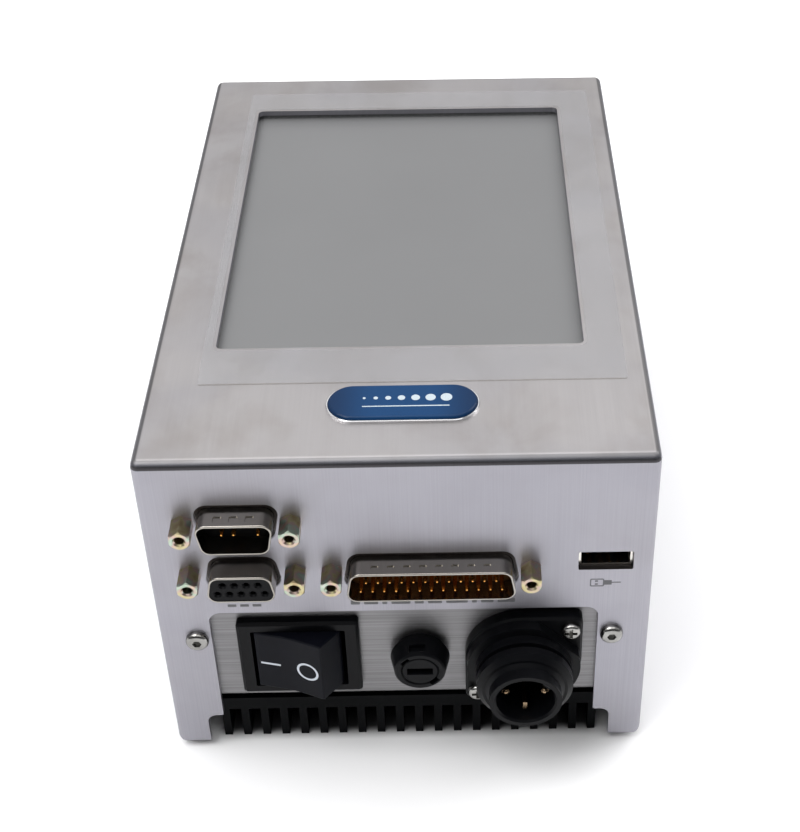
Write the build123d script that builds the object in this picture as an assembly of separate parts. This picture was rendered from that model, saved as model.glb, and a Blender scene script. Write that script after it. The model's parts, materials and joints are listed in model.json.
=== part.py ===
from build123d import *
import math
import os

# Touch-screen controller of a thermal inkjet date coder, lying on its heat sink with the screen up.
# Millimetres. +X is to the right as seen from the connector end, +Y runs away from that end, and
# +Z comes out of the screen. The origin is the centre of the four mounting holes in the heat sink,
# on the plane of the fin tips.

# Cover: a five-sided box of bent stainless sheet
COVER_W = 120.0
COVER_L = 181.0
COVER_H = 98.0
COVER_BOTTOM = 2.5
SHEET = 1.5
BEND_R = 2.0
FRONT = -COVER_L / 2
BACK = COVER_L / 2
INNER_X = COVER_W / 2 - SHEET
INNER_Y = COVER_L / 2 - SHEET
INNER_TOP = COVER_H - SHEET

# Screen window in the cover's top
WINDOW_W = 90.2
WINDOW_L = 118.4
WINDOW_Y = 10.9
WINDOW_R = 1.5
SCREEN_TOP = COVER_H - 2.8

# Opening in the lower part of the front wall, with a wider notch for the heat sink
OPENING_HALF = 47.3
OPENING_TOP = 49.8
OPENING_R = 3.0
NOTCH_HALF = 51.5
NOTCH_TOP = 12.2
NOTCH_R = 2.5

# Chassis tray: front panel, floor and rear panel in one bent sheet
TRAY_HALF = 57.8
TRAY_END = INNER_Y - 0.05
TRAY_BOTTOM = 17.5
TRAY_TOP = 54.0
FLOOR_TOP = TRAY_BOTTOM + SHEET
PANEL_FRONT = -TRAY_END
PANEL_BACK = PANEL_FRONT + SHEET

# Heat sink
FIN_COUNT = 20
FIN_PITCH = 5.0
FIN_T = 2.0
FIN_H = 10.2
SINK_TOP = 14.4
SINK_END = COVER_L / 2 - 3.6
MOUNT_SPACING = 75.0
MOUNT_HOLE_R = 1.65
MOUNT_BOSS_R = 4.5
SINK_SCREW_X = 40.0
SINK_SCREW_Y = 72.0

# M3 screws
M3_R = 1.45
M3_TAP_R = 1.5
M3_CLEAR_R = 1.65
COVER_SCREW_X = 50.8
COVER_SCREW_Z = 40.7

# D-subminiature connectors: (centre x, centre z), shell width and height
RS232_AT = (-37.5, 79.5)
ENCODER_AT = (-37.5, 63.4)
PRINTHEAD_AT = (7.1, 63.3)
MALE9_SHELL = (18.5, 9.1)
FEMALE9_SHELL = (16.9, 8.2)
MALE25_SHELL = (40.7, 9.1)
FLANGE9 = (30.81, 12.55)
FLANGE25 = (53.04, 12.55)
JACK9_SPACING = 24.99
JACK25_SPACING = 47.04
SHELL_OUT = 5.8
SHELL_T = 0.5
SHELL_R = 2.6
SHELL_FLARE = 1.0
DIMPLE_DEPTH = 0.3
SHELL_SLANT = math.tan(math.radians(10.0))
FLANGE_T = 0.8
CUTOUT_GROWTH = 1.05
CUTOUT_LIP = 0.2
CUTOUT_LIP_DEPTH = 0.15
CONTACT_PITCH = 2.77
ROW_SPACING = 2.84
PIN_R = 0.5
PIN_TIP_R = 0.2
PIN_TAPER = 1.0
JACK_AF = 4.75
JACK_OUT = 5.9
JACK_TAP_R = 1.13
JACK_SHANK_R = 1.4
IO_BOARD_FRONT = -78.6

# USB port
USB_AT = (48.5, 65.4)
USB_SLOT = (13.1, 5.85)
USB_SHELL = (12.9, 5.6)
USB_WALL = 0.6

# Mains rocker switch
SWITCH_AT = (-26.1, 34.0)
BEZEL = (29.9, 25.0)
BEZEL_OUT = 0.9
SWITCH_BODY = (27.8, 21.8)
SWITCH_DEPTH = 22.0
ROCKER_HALF_X = 11.2
ROCKER_HALF_Z = 9.5
ROCKER_WELL = (23.1, 19.6)
ROCKER_PIVOT = -4.4
ROCKER_TILT = 17.5
ROCKER_RIDGE = (8.6, 8.3)
TRUNNION_R = 1.5
RUNNING_GAP = 0.05
LEVER_DEPTH = -14.0
LEVER_TILT = 8.0

# Fuse holder
FUSE_AT = (3.6, 33.5)
FUSE_OUT = 5.4
FUSE_BASE_R = 7.35
FUSE_NECK_R = 6.3
FUSE_FACE_R = 6.2
FUSE_BARREL_R = 6.1
FUSE_CAP_R = 4.5
FUSE_R = 2.6
FUSE_LENGTH = 20.0

# Round mains inlet
INLET_AT = (29.2, 33.5)
INLET_HALF = 14.4
INLET_FLANGE_OUT = 2.0
INLET_BOSS_R = 13.95
INLET_BOSS_OUT = 4.75
INLET_FLAT = 12.1
INLET_RING_R = 11.8
INLET_NOSE_R = 8.8
INLET_NOSE_OUT = 15.5
INLET_MOUTH_R = 7.15
INLET_PIN_CIRCLE = 4.75
INLET_SCREW_OFFSET = 11.4

# Badge on the cover's top
BADGE_AT = (1.15, FRONT + 19.6)
BADGE_SIZE = (36.0, 13.0)
BADGE_RIM = 0.35
BADGE_SEAT = COVER_H + 0.3

# Screen stack and boards
LCD_HALF_X = 52.3
LCD_HALF_Y = 72.0
BRACKET_Z = 83.0
BRACKET_T = 1.2
POST_X = 55.4
MAIN_BOARD_Z = 70.0
BOARD_T = 1.6
MAIN_HALF_X = 50.0
MAIN_Y = (-58.0, 80.0)
LOW_BOARD_Z = 27.0
PSU_X = (-56.0, 12.0)
PSU_Y = (-22.0, 84.0)
DRIVER_X = (16.0, 56.0)
DRIVER_Y = (-30.0, 84.0)


def out(distance):
    """The Y of a plane this far in front of the cover's front face."""
    return FRONT - distance


def block(x_range, y_range, z_range):
    """A box between pairs of planes."""
    ranges = (x_range, y_range, z_range)
    sizes = [high - low for low, high in ranges]
    centre = [(high + low) / 2 for low, high in ranges]
    return Pos(*centre) * Box(*sizes)


def rod_y(at, radius, y_from, y_to):
    """A round rod along Y; at is its (x, z)."""
    middle = Pos(at[0], (y_from + y_to) / 2, at[1])
    return middle * Rot(90, 0, 0) * Cylinder(radius, y_to - y_from)


def cone_y(at, front_radius, back_radius, y_from, y_to):
    """A cone along Y with its front end at y_from."""
    middle = Pos(at[0], (y_from + y_to) / 2, at[1])
    return middle * Rot(90, 0, 0) * Cone(back_radius, front_radius, y_to - y_from)


def rod_z(x, y, radius, z_from, z_to):
    """A round rod along Z."""
    return Pos(x, y, (z_from + z_to) / 2) * Cylinder(radius, z_to - z_from)


def prism_y(sketch, at, y_from, y_to):
    """A sketch drawn with x to the right and z up, centred on at, and thick from y_from to y_to."""
    plane = Plane(origin=(at[0], y_to, at[1]), x_dir=(1, 0, 0), z_dir=(0, -1, 0))
    return extrude(plane * sketch, amount=y_to - y_from)


def prism_z(sketch, x, y, z_from, z_to):
    """A sketch drawn in the XY plane and thick from z_from to z_to."""
    return extrude(Pos(x, y, z_from) * sketch, amount=z_to - z_from)


def outline(corners):
    """A flat face from corners given as (x, y, radius)."""
    face = make_face(Polyline(*[(x, y) for x, y, _ in corners], close=True))
    for x, y, radius in corners:
        if radius:
            nearest = face.vertices().sort_by_distance((x, y, 0))[0]
            face = fillet(nearest, radius)
    return face


def group(solids):
    """Separate solids in one node."""
    return Part() + solids


def d_outline(width, height, radius, wide_up):
    """The D of a D-subminiature shell, with its wide side up or down."""
    half_wide = width / 2
    half_narrow = half_wide - height * SHELL_SLANT
    top, bottom = (half_wide, half_narrow) if wide_up else (half_narrow, half_wide)
    half = height / 2
    return outline(
        [(-bottom, -half, radius), (bottom, -half, radius), (top, half, radius), (-top, half, radius)]
    )


def jack_positions():
    """The (x, z) of all six jackscrews."""
    found = []
    for at, spacing in (
        (RS232_AT, JACK9_SPACING),
        (ENCODER_AT, JACK9_SPACING),
        (PRINTHEAD_AT, JACK25_SPACING),
    ):
        found += [(at[0] + side * spacing / 2, at[1]) for side in (-1, 1)]
    return found


def dsub_cutout(at, shell, wide_up):
    """The hole in the cover's front wall that a D-subminiature shell comes through, with its rolled lip."""
    width = shell[0] + 2 * CUTOUT_GROWTH
    height = shell[1] + 2 * CUTOUT_GROWTH
    hole = prism_y(d_outline(width, height, SHELL_R + 0.6, wide_up), at, FRONT - 1, FRONT + SHEET + 1)
    lip = d_outline(width + 2 * CUTOUT_LIP, height + 2 * CUTOUT_LIP, SHELL_R + 0.8, wide_up)
    return hole + prism_y(lip, at, FRONT - 1, FRONT + CUTOUT_LIP_DEPTH)


def make_outer_cover():
    """Stainless cover: window in the top, four walls, open underside, posts welded inside."""
    cover = Pos(0, 0, (COVER_H + COVER_BOTTOM) / 2) * Box(COVER_W, COVER_L, COVER_H - COVER_BOTTOM)
    edges = cover.edges()
    rounded = edges.filter_by(Axis.Z) + edges.filter_by(Axis.Y)
    rounded += edges.filter_by(Axis.X).sort_by(Axis.Z)[-2:]
    cover = fillet(rounded, BEND_R)
    cover -= block((-INNER_X, INNER_X), (-INNER_Y, INNER_Y), (-5, INNER_TOP))
    window = RectangleRounded(WINDOW_W, WINDOW_L, WINDOW_R)
    cover -= prism_z(window, 0, WINDOW_Y, INNER_TOP - 1, COVER_H + 1)
    front_hole = outline(
        [
            (-NOTCH_HALF, -5, 0),
            (NOTCH_HALF, -5, 0),
            (NOTCH_HALF, NOTCH_TOP, NOTCH_R),
            (OPENING_HALF, NOTCH_TOP, 0.6),
            (OPENING_HALF, OPENING_TOP, OPENING_R),
            (-OPENING_HALF, OPENING_TOP, OPENING_R),
            (-OPENING_HALF, NOTCH_TOP, 0.6),
            (-NOTCH_HALF, NOTCH_TOP, NOTCH_R),
        ]
    )
    cover -= prism_y(front_hole, (0, 0), FRONT - 1, FRONT + SHEET + 1)
    back_hole = outline(
        [
            (-NOTCH_HALF, -5, 0),
            (NOTCH_HALF, -5, 0),
            (NOTCH_HALF, SINK_TOP + 1.0, NOTCH_R),
            (-NOTCH_HALF, SINK_TOP + 1.0, NOTCH_R),
        ]
    )
    cover -= prism_y(back_hole, (0, 0), BACK - SHEET - 1, BACK + 1)
    cover -= dsub_cutout(RS232_AT, MALE9_SHELL, True)
    cover -= dsub_cutout(ENCODER_AT, FEMALE9_SHELL, False)
    cover -= dsub_cutout(PRINTHEAD_AT, MALE25_SHELL, False)
    slot = RectangleRounded(*USB_SLOT, 0.5)
    cover -= prism_y(slot, USB_AT, FRONT - 1, FRONT + SHEET + 1)
    for at in jack_positions():
        cover -= rod_y(at, 1.6, FRONT - 1, FRONT + SHEET + 1)
    for x in (-COVER_SCREW_X, COVER_SCREW_X):
        cover -= rod_y((x, COVER_SCREW_Z), M3_CLEAR_R, FRONT - 1, FRONT + SHEET + 1)
        cover -= rod_y((x, COVER_SCREW_Z), M3_CLEAR_R, BACK - SHEET - 1, BACK + 1)
    for x, y in post_positions():
        cover += rod_z(x, y, 2.2, BRACKET_Z + BRACKET_T, INNER_TOP)
        cover -= rod_z(x, y, 1.25, BRACKET_Z, BRACKET_Z + 8)
    return cover


def button_screw(x, toward):
    """An M3 button-head socket screw in the front (toward -1) or rear (toward 1) wall."""
    wall = toward * COVER_L / 2
    head = Pos(0, 0, 0.85) * Cylinder(2.85, 1.7)
    head = fillet(head.edges().sort_by(Axis.Z)[-1], 1.2)
    socket = extrude(Pos(0, 0, 0.7) * RegularPolygon(1.0, 6, major_radius=False), amount=2)
    shank = Pos(0, 0, -3.5) * Cylinder(M3_R, 7.0)
    screw = head - socket + shank
    turn = Rot(90, 0, 0) if toward < 0 else Rot(-90, 0, 0)
    return Pos(x, wall, COVER_SCREW_Z) * turn * screw


def make_cover_screws():
    """Two button-head screws in the front wall and two in the rear wall."""
    places = [(x, toward) for x in (-COVER_SCREW_X, COVER_SCREW_X) for toward in (-1, 1)]
    return group([button_screw(x, toward) for x, toward in places])


def make_chassis_tray():
    """Bent tray whose front panel carries the mains parts behind the cover's opening."""
    end = TRAY_END
    inner = TRAY_END - SHEET
    profile = outline(
        [
            (-end, TRAY_TOP, 0),
            (-end, TRAY_BOTTOM, 1.9),
            (end, TRAY_BOTTOM, 1.9),
            (end, TRAY_TOP, 0),
            (inner, TRAY_TOP, 0),
            (inner, FLOOR_TOP, 0.5),
            (-inner, FLOOR_TOP, 0.5),
            (-inner, TRAY_TOP, 0),
        ]
    )
    plane = Plane(origin=(-TRAY_HALF, 0, 0), x_dir=(0, 1, 0), z_dir=(1, 0, 0))
    tray = extrude(plane * profile, amount=2 * TRAY_HALF)
    through = (PANEL_FRONT - 1, PANEL_BACK + 1)
    body = Rectangle(SWITCH_BODY[0] + 0.4, SWITCH_BODY[1] + 0.4)
    tray -= prism_y(body, SWITCH_AT, *through)
    tray -= rod_y(FUSE_AT, FUSE_BARREL_R + 0.15, *through)
    tray -= rod_y(INLET_AT, INLET_RING_R - 1.2, *through)
    for at in inlet_screw_positions():
        tray -= rod_y(at, M3_TAP_R, *through)
    for x in (-COVER_SCREW_X, COVER_SCREW_X):
        tray -= rod_y((x, COVER_SCREW_Z), M3_TAP_R, *through)
        tray -= rod_y((x, COVER_SCREW_Z), M3_TAP_R, -PANEL_BACK - 1, -PANEL_FRONT + 1)
    for x, y in sink_screw_positions():
        tray -= rod_z(x, y, M3_CLEAR_R, TRAY_BOTTOM - 1, FLOOR_TOP + 1)
    return tray


def sink_screw_positions():
    """The (x, y) of the screws that hold the heat sink under the floor."""
    return [(x, y) for x in (-SINK_SCREW_X, SINK_SCREW_X) for y in (-SINK_SCREW_Y, SINK_SCREW_Y)]


def make_heat_sink():
    """Black extrusion with fins along Y and four tapped bosses for the bracket behind the unit."""
    half = (FIN_COUNT - 1) * FIN_PITCH / 2 + FIN_T / 2
    sink = block((-half, half), (-SINK_END, SINK_END), (FIN_H, SINK_TOP))
    fins = []
    for index in range(FIN_COUNT):
        x = -half + index * FIN_PITCH
        fins.append(block((x, x + FIN_T), (-SINK_END, SINK_END), (0, FIN_H)))
    sink += fins
    corners = [(x, y) for x in (-1, 1) for y in (-1, 1)]
    for x, y in corners:
        place = (x * MOUNT_SPACING / 2, y * MOUNT_SPACING / 2)
        sink += rod_z(*place, MOUNT_BOSS_R, 0, SINK_TOP)
    for x, y in corners:
        place = (x * MOUNT_SPACING / 2, y * MOUNT_SPACING / 2)
        sink -= rod_z(*place, MOUNT_HOLE_R, -1, 12.0)
    for x, y in sink_screw_positions():
        sink -= rod_z(x, y, M3_TAP_R, FIN_H + 0.5, SINK_TOP + 1)
    return sink


def make_heat_spreader():
    """Aluminium plate that carries heat from the tray's floor to the heat sink."""
    plate = block((-44, 44), (-80, 80), (SINK_TOP, TRAY_BOTTOM))
    for x, y in sink_screw_positions():
        plate -= rod_z(x, y, M3_CLEAR_R, SINK_TOP - 1, TRAY_BOTTOM + 1)
    return plate


def pan_screw_z(x, y, seat, tip, radius=M3_R):
    """A pan-head screw along Z: the head stands on seat, and the shank runs to tip."""
    way = 1 if seat > tip else -1
    head_top = seat + way * 1.8
    head = rod_z(x, y, radius * 1.9, min(seat, head_top), max(seat, head_top))
    shank = rod_z(x, y, radius, min(seat, tip), max(seat, tip))
    recess = rod_z(x, y, radius * 0.7, min(head_top - way, head_top), max(head_top - way, head_top))
    return head + shank - recess


def make_window_gasket():
    """Foam frame between the cover and the touch panel."""
    frame = RectangleRounded(WINDOW_W + 9, WINDOW_L + 9, 2)
    frame -= RectangleRounded(WINDOW_W + 1.2, WINDOW_L + 1.2, WINDOW_R)
    return prism_z(frame, 0, WINDOW_Y, SCREEN_TOP, INNER_TOP)


def make_touch_panel():
    """Resistive touch panel behind the window."""
    face = RectangleRounded(WINDOW_W + 10, WINDOW_L + 12, 1)
    return prism_z(face, 0, WINDOW_Y, SCREEN_TOP - 1.8, SCREEN_TOP)


def make_lcd_module():
    """LCD module with its pressed-metal surround and driver hump on the back."""
    top = SCREEN_TOP - 1.9
    x_range = (-LCD_HALF_X, LCD_HALF_X)
    y_range = (WINDOW_Y - LCD_HALF_Y, WINDOW_Y + LCD_HALF_Y)
    module = block(x_range, y_range, (BRACKET_Z + BRACKET_T, top))
    glass = RectangleRounded(WINDOW_W + 2, WINDOW_L + 2, 1)
    return module - prism_z(glass, 0, WINDOW_Y, top - 0.8, top + 1)


def post_positions():
    """The (x, y) of the four posts under the cover's top."""
    return [(x, y) for x in (-POST_X, POST_X) for y in (-40.0, 62.0)]


def make_lcd_bracket():
    """Sheet frame that holds the screen stack up against the cover."""
    y_range = (WINDOW_Y - LCD_HALF_Y - 1, WINDOW_Y + LCD_HALF_Y + 1)
    plate = block((-58, 58), y_range, (BRACKET_Z, BRACKET_Z + BRACKET_T))
    plate -= block((-40, 40), (-45, 65), (BRACKET_Z - 1, BRACKET_Z + BRACKET_T + 1))
    for x, y in post_positions():
        plate -= rod_z(x, y, 1.35, BRACKET_Z - 1, BRACKET_Z + BRACKET_T + 1)
    for x, y in main_screw_positions():
        plate -= rod_z(x, y, 1.65, BRACKET_Z - 1, BRACKET_Z + BRACKET_T + 1)
    return plate


def make_lcd_screws():
    """Four small screws that hold the bracket to the posts."""
    return group([pan_screw_z(x, y, BRACKET_Z, BRACKET_Z + 7, 1.2) for x, y in post_positions()])


def make_overlay_film():
    """Thin clear film stuck around the window, set slightly to the right of centre."""
    film = Pos(3.3, 9.0) * RectangleRounded(102.6, 143.0, 3)
    film -= Pos(0, WINDOW_Y) * RectangleRounded(WINDOW_W + 1.6, WINDOW_L + 1.6, 2)
    return prism_z(film, 0, 0, COVER_H, COVER_H + 0.15)


def badge_slot(inset):
    """The badge's outline, drawn in by inset all round."""
    return SlotOverall(BADGE_SIZE[0] - 2 * inset, BADGE_SIZE[1] - 2 * inset)


def make_badge_plate():
    """Bright backing plate whose thin rim shows round the badge."""
    plate = prism_z(badge_slot(0), *BADGE_AT, COVER_H, COVER_H + 0.65)
    plate = chamfer(plate.edges().group_by(Axis.Z)[-1], 0.15)
    return plate - prism_z(badge_slot(BADGE_RIM), *BADGE_AT, BADGE_SEAT, COVER_H + 1)


def make_badge_dome():
    """Domed resin label on the backing plate."""
    label = prism_z(badge_slot(BADGE_RIM + 0.02), *BADGE_AT, BADGE_SEAT, COVER_H + 1.4)
    return fillet(label.edges().group_by(Axis.Z)[-1], 0.95)


def dsub_shell(at, shell, flange, wide_up):
    """Plated flange with a D-shaped tube that flares into it and stands through the cover's wall."""
    width, height = shell
    plate = prism_y(RectangleRounded(*flange, 1.0), at, -INNER_Y, -INNER_Y + FLANGE_T)
    outer = d_outline(width, height, SHELL_R, wide_up)
    tube = prism_y(outer, at, out(SHELL_OUT), -INNER_Y + 0.1)
    tube = fillet(tube.edges().group_by(Axis.Y)[0], 0.25)
    body = plate + tube
    at_flange = body.edges().filter_by_position(Axis.Y, -INNER_Y - 0.01, -INNER_Y + 0.01)
    root = [
        edge
        for edge in at_flange
        if abs(edge.center().X - at[0]) < width / 2 + 0.1 and abs(edge.center().Z - at[1]) < height / 2 + 0.1
    ]
    body = fillet(root, SHELL_FLARE)
    inner = d_outline(width - 2 * SHELL_T, height - 2 * SHELL_T, SHELL_R - SHELL_T, wide_up)
    hole = prism_y(inner, at, out(SHELL_OUT + 1), -INNER_Y + FLANGE_T + 1)
    return body - hole


def shell_dimples(at, height, count, pitch, size):
    """Shallow rectangular dents above and below a male shell that grip the plug."""
    dents = []
    for index in range(count):
        x = at[0] + (index - (count - 1) / 2) * pitch
        for side in (-1, 1):
            skin = at[1] + side * height / 2
            dent = Box(*size, 2 * DIMPLE_DEPTH)
            dent = fillet(dent.edges().filter_by(Axis.Z), 0.4)
            dents.append(Pos(x, out(3.5), skin) * dent)
    return dents


def jack_holes(at, spacing, y_from, y_to):
    """Clearance holes for the two jackscrews beside a connector."""
    return [rod_y((at[0] + side * spacing / 2, at[1]), 1.6, y_from, y_to) for side in (-1, 1)]


def dsub_insert(at, shell, wide_up, front):
    """Moulded insulator from its front plane to the board behind."""
    width = shell[0] - 2 * SHELL_T - 0.1
    height = shell[1] - 2 * SHELL_T - 0.1
    core = prism_y(d_outline(width, height, SHELL_R - SHELL_T, wide_up), at, front, -INNER_Y + 1)
    rear = RectangleRounded(width + 1.6, height + 2.2, 1)
    return core + prism_y(rear, at, -INNER_Y + FLANGE_T + 0.05, IO_BOARD_FRONT - 1.6)


def row_positions(at, count_top, count_bottom):
    """The (x, z) of the contacts of a two-row connector, top row first."""
    places = []
    for count, z in ((count_top, at[1] + ROW_SPACING / 2), (count_bottom, at[1] - ROW_SPACING / 2)):
        for index in range(count):
            places.append((at[0] + (index - (count - 1) / 2) * CONTACT_PITCH, z))
    return places


def male_pin(at):
    """A round pin with a tapered tip, from inside the shell to the board."""
    tip = out(SHELL_OUT - 0.4)
    taper = cone_y(at, PIN_TIP_R, PIN_R, tip, tip + PIN_TAPER)
    return taper + rod_y(at, PIN_R, tip + PIN_TAPER, IO_BOARD_FRONT)


def rs232_pin_positions():
    """Only three of the nine positions are fitted."""
    top_row = row_positions(RS232_AT, 5, 4)[:5]
    return [top_row[1], top_row[2], top_row[4]]


def printhead_pin_positions():
    """All twenty-five positions, twelve above thirteen."""
    return row_positions(PRINTHEAD_AT, 12, 13)


def encoder_socket_positions():
    """All nine positions, four above five."""
    return row_positions(ENCODER_AT, 4, 5)


def pin_holes(places, y_from, y_to, radius=PIN_R + 0.02):
    """Round holes for contacts in an insulator."""
    return [rod_y(at, radius, y_from, y_to) for at in places]


def make_rs232_shell():
    """Nine-way plug shell, wide side up."""
    shell = dsub_shell(RS232_AT, MALE9_SHELL, FLANGE9, True)
    shell -= jack_holes(RS232_AT, JACK9_SPACING, -INNER_Y - 1, -INNER_Y + 2)
    return shell - shell_dimples(RS232_AT, MALE9_SHELL[1], 3, 3.7, (2.0, 2.1))


def make_rs232_insert():
    """Black insulator at the bottom of the plug's shell."""
    insert = dsub_insert(RS232_AT, MALE9_SHELL, True, out(0.0))
    return insert - pin_holes(rs232_pin_positions(), out(1), IO_BOARD_FRONT)


def make_rs232_pins():
    """The three fitted pins."""
    return group([male_pin(at) for at in rs232_pin_positions()])


def make_encoder_shell():
    """Nine-way socket shell, narrow side up."""
    shell = dsub_shell(ENCODER_AT, FEMALE9_SHELL, FLANGE9, False)
    return shell - jack_holes(ENCODER_AT, JACK9_SPACING, -INNER_Y - 1, -INNER_Y + 2)


def make_encoder_insert():
    """Insulator that fills the socket's shell, with countersunk contact holes."""
    front = out(SHELL_OUT - 0.15)
    insert = dsub_insert(ENCODER_AT, FEMALE9_SHELL, False, front)
    places = encoder_socket_positions()
    insert -= pin_holes(places, front + 1.4, IO_BOARD_FRONT, 0.8)
    insert -= pin_holes(places, front - 1, front + 2, 0.62)
    return insert - [cone_y(at, 1.02, 0.62, front - 0.01, front + 0.45) for at in places]


def make_encoder_contacts():
    """Nine tubular sockets behind the insulator's face."""
    front = out(SHELL_OUT - 0.15) + 1.6
    contacts = []
    for at in encoder_socket_positions():
        tube = rod_y(at, 0.78, front, IO_BOARD_FRONT)
        contacts.append(tube - rod_y(at, 0.55, front - 1, front + 6))
    return group(contacts)


def make_printhead_shell():
    """Twenty-five-way plug shell, narrow side up."""
    shell = dsub_shell(PRINTHEAD_AT, MALE25_SHELL, FLANGE25, False)
    shell -= jack_holes(PRINTHEAD_AT, JACK25_SPACING, -INNER_Y - 1, -INNER_Y + 2)
    return shell - shell_dimples(PRINTHEAD_AT, MALE25_SHELL[1], 8, 3.77, (1.8, 1.3))


def make_printhead_insert():
    """Insulator at the bottom of the wide plug's shell."""
    insert = dsub_insert(PRINTHEAD_AT, MALE25_SHELL, False, out(0.0))
    return insert - pin_holes(printhead_pin_positions(), out(1), IO_BOARD_FRONT)


def make_printhead_pins():
    """Twenty-five gold-plated pins."""
    return group([male_pin(at) for at in printhead_pin_positions()])


def jackscrew(at):
    """Hexagonal jackscrew with a tapped mouth and a threaded shank behind the wall."""
    hexagon = RegularPolygon(JACK_AF / 2, 6, major_radius=False, rotation=30)
    body = prism_y(hexagon, at, out(JACK_OUT), FRONT)
    crown = cone_y(at, JACK_AF / 2 - 0.05, JACK_AF / 2 + 1.65, out(JACK_OUT), out(JACK_OUT - 1.7))
    crown += rod_y(at, JACK_AF, out(JACK_OUT - 1.7), FRONT + 1)
    body &= crown
    body += rod_y(at, JACK_SHANK_R, FRONT, -INNER_Y + 5)
    body -= rod_y(at, JACK_TAP_R, out(JACK_OUT + 1), out(0.2))
    return body - cone_y(at, JACK_TAP_R + 0.45, JACK_TAP_R, out(JACK_OUT + 0.01), out(JACK_OUT - 0.45))


def make_jackscrews():
    """Two jackscrews for each of the three connectors."""
    return group([jackscrew(at) for at in jack_positions()])


def make_jackscrew_nuts():
    """Hexagonal nuts behind the connector flanges."""
    nuts = []
    for at in jack_positions():
        hexagon = RegularPolygon(2.4, 6, major_radius=False)
        nut = prism_y(hexagon, at, -INNER_Y + FLANGE_T + 0.02, -INNER_Y + FLANGE_T + 2.2)
        nuts.append(nut - rod_y(at, JACK_SHANK_R + 0.03, -INNER_Y, -INNER_Y + 5))
    return group(nuts)


def make_usb_shell():
    """Folded shell of the USB port, just behind its slot in the wall."""
    width, height = USB_SHELL
    front = -INNER_Y + 0.02
    outer = prism_y(RectangleRounded(width, height, 0.8), USB_AT, front, IO_BOARD_FRONT)
    inner = RectangleRounded(width - 2 * USB_WALL, height - 2 * USB_WALL, 0.4)
    return outer - prism_y(inner, USB_AT, front - 1, IO_BOARD_FRONT - 0.6)


def make_usb_tongue():
    """Black contact carrier along the top of the port."""
    x, z = USB_AT
    return block((x - 5.6, x + 5.6), (FRONT + 3.0, IO_BOARD_FRONT - 0.65), (z + 0.1, z + 2.0))


def make_usb_contacts():
    """Four contact strips under the carrier."""
    x, z = USB_AT
    strips = []
    for place in (-3.5, -1.0, 1.0, 3.5):
        x_range = (x + place - 0.5, x + place + 0.5)
        strips.append(block(x_range, (FRONT + 3.8, IO_BOARD_FRONT - 1), (z - 0.15, z + 0.08)))
    return group(strips)


def make_switch_housing():
    """Switch body: bezel in front of the panel, well for the rocker, closed back."""
    bezel = prism_y(RectangleRounded(*BEZEL, 1.0), SWITCH_AT, out(BEZEL_OUT), PANEL_FRONT)
    bezel = chamfer(bezel.edges().group_by(Axis.Y)[0], 0.7)
    back = PANEL_FRONT + SWITCH_DEPTH
    body = bezel + prism_y(Rectangle(*SWITCH_BODY), SWITCH_AT, PANEL_FRONT, back)
    well = RectangleRounded(*ROCKER_WELL, 0.4)
    body -= prism_y(well, SWITCH_AT, out(BEZEL_OUT + 1), back - 1.6)
    x, z = SWITCH_AT
    pivot_y = out(ROCKER_PIVOT)
    body -= rod_z(x, pivot_y, TRUNNION_R + RUNNING_GAP, z - BEZEL[1], z + BEZEL[1])
    lever_y = out(LEVER_DEPTH)
    post = block((x - 1.2, x + 1.2), (lever_y + 2.0, back - 1.6), (z - 6, z + 6))
    return body + post


def make_switch_rocker():
    """Rocker with a dished face and a ridge at each end, tilted with its left end pressed in."""
    ridge_x, ridge_v = ROCKER_RIDGE
    profile = outline(
        [
            (-ROCKER_HALF_X, 2.1, 0),
            (-ROCKER_HALF_X, 0.6, 0.5),
            (-8.0, -2.0, 1.0),
            (8.0, -2.0, 1.0),
            (ROCKER_HALF_X, 0.6, 0.5),
            (ROCKER_HALF_X, 2.1, 0),
            (ridge_x, ridge_v, 0.5),
            (0, ridge_v - 0.75, 30),
            (-ridge_x, ridge_v, 0.5),
        ]
    )
    body = extrude(profile, amount=ROCKER_HALF_Z, both=True)
    ends = body.edges().filter_by(lambda edge: abs(edge.center().Z) > ROCKER_HALF_Z - 0.01)
    face_edges = ends.filter_by(lambda edge: edge.center().Y > 3.0)
    body = fillet(face_edges, 0.35)
    body += Cylinder(TRUNNION_R, 2 * (SWITCH_BODY[1] / 2 - 0.2))
    # The profile is drawn with its face toward +Y; the switch faces -Y, so it is turned over.
    turned = Rot(0, 0, 180) * body
    return Pos(SWITCH_AT[0], out(ROCKER_PIVOT), SWITCH_AT[1]) * Rot(0, 0, -ROCKER_TILT) * turned


def make_switch_plunger():
    """Sprung plunger in the rocker's underside that snaps the contact lever over."""
    stem = Pos(0, 4.2, 0) * Rot(90, 0, 0) * Cylinder(1.3, 4.4)
    tip = Pos(0, 6.4, 0) * Sphere(1.3)
    body = stem + tip
    return Pos(SWITCH_AT[0], out(ROCKER_PIVOT), SWITCH_AT[1]) * Rot(0, 0, -ROCKER_TILT) * body


def make_switch_contact_lever():
    """Brass see-saw lever on a round pivot that closes the contacts, tilted right end down."""
    bar = Box(14.0, 0.8, 9.0)
    pad = [Pos(side * 6.2, 0.65, 0) * Rot(90, 0, 0) * Cylinder(1.2, 0.5) for side in (-1, 1)]
    lever = bar + pad + Cylinder(0.9, 9.0)
    return Pos(SWITCH_AT[0], out(LEVER_DEPTH), SWITCH_AT[1]) * Rot(0, 0, LEVER_TILT) * lever


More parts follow.
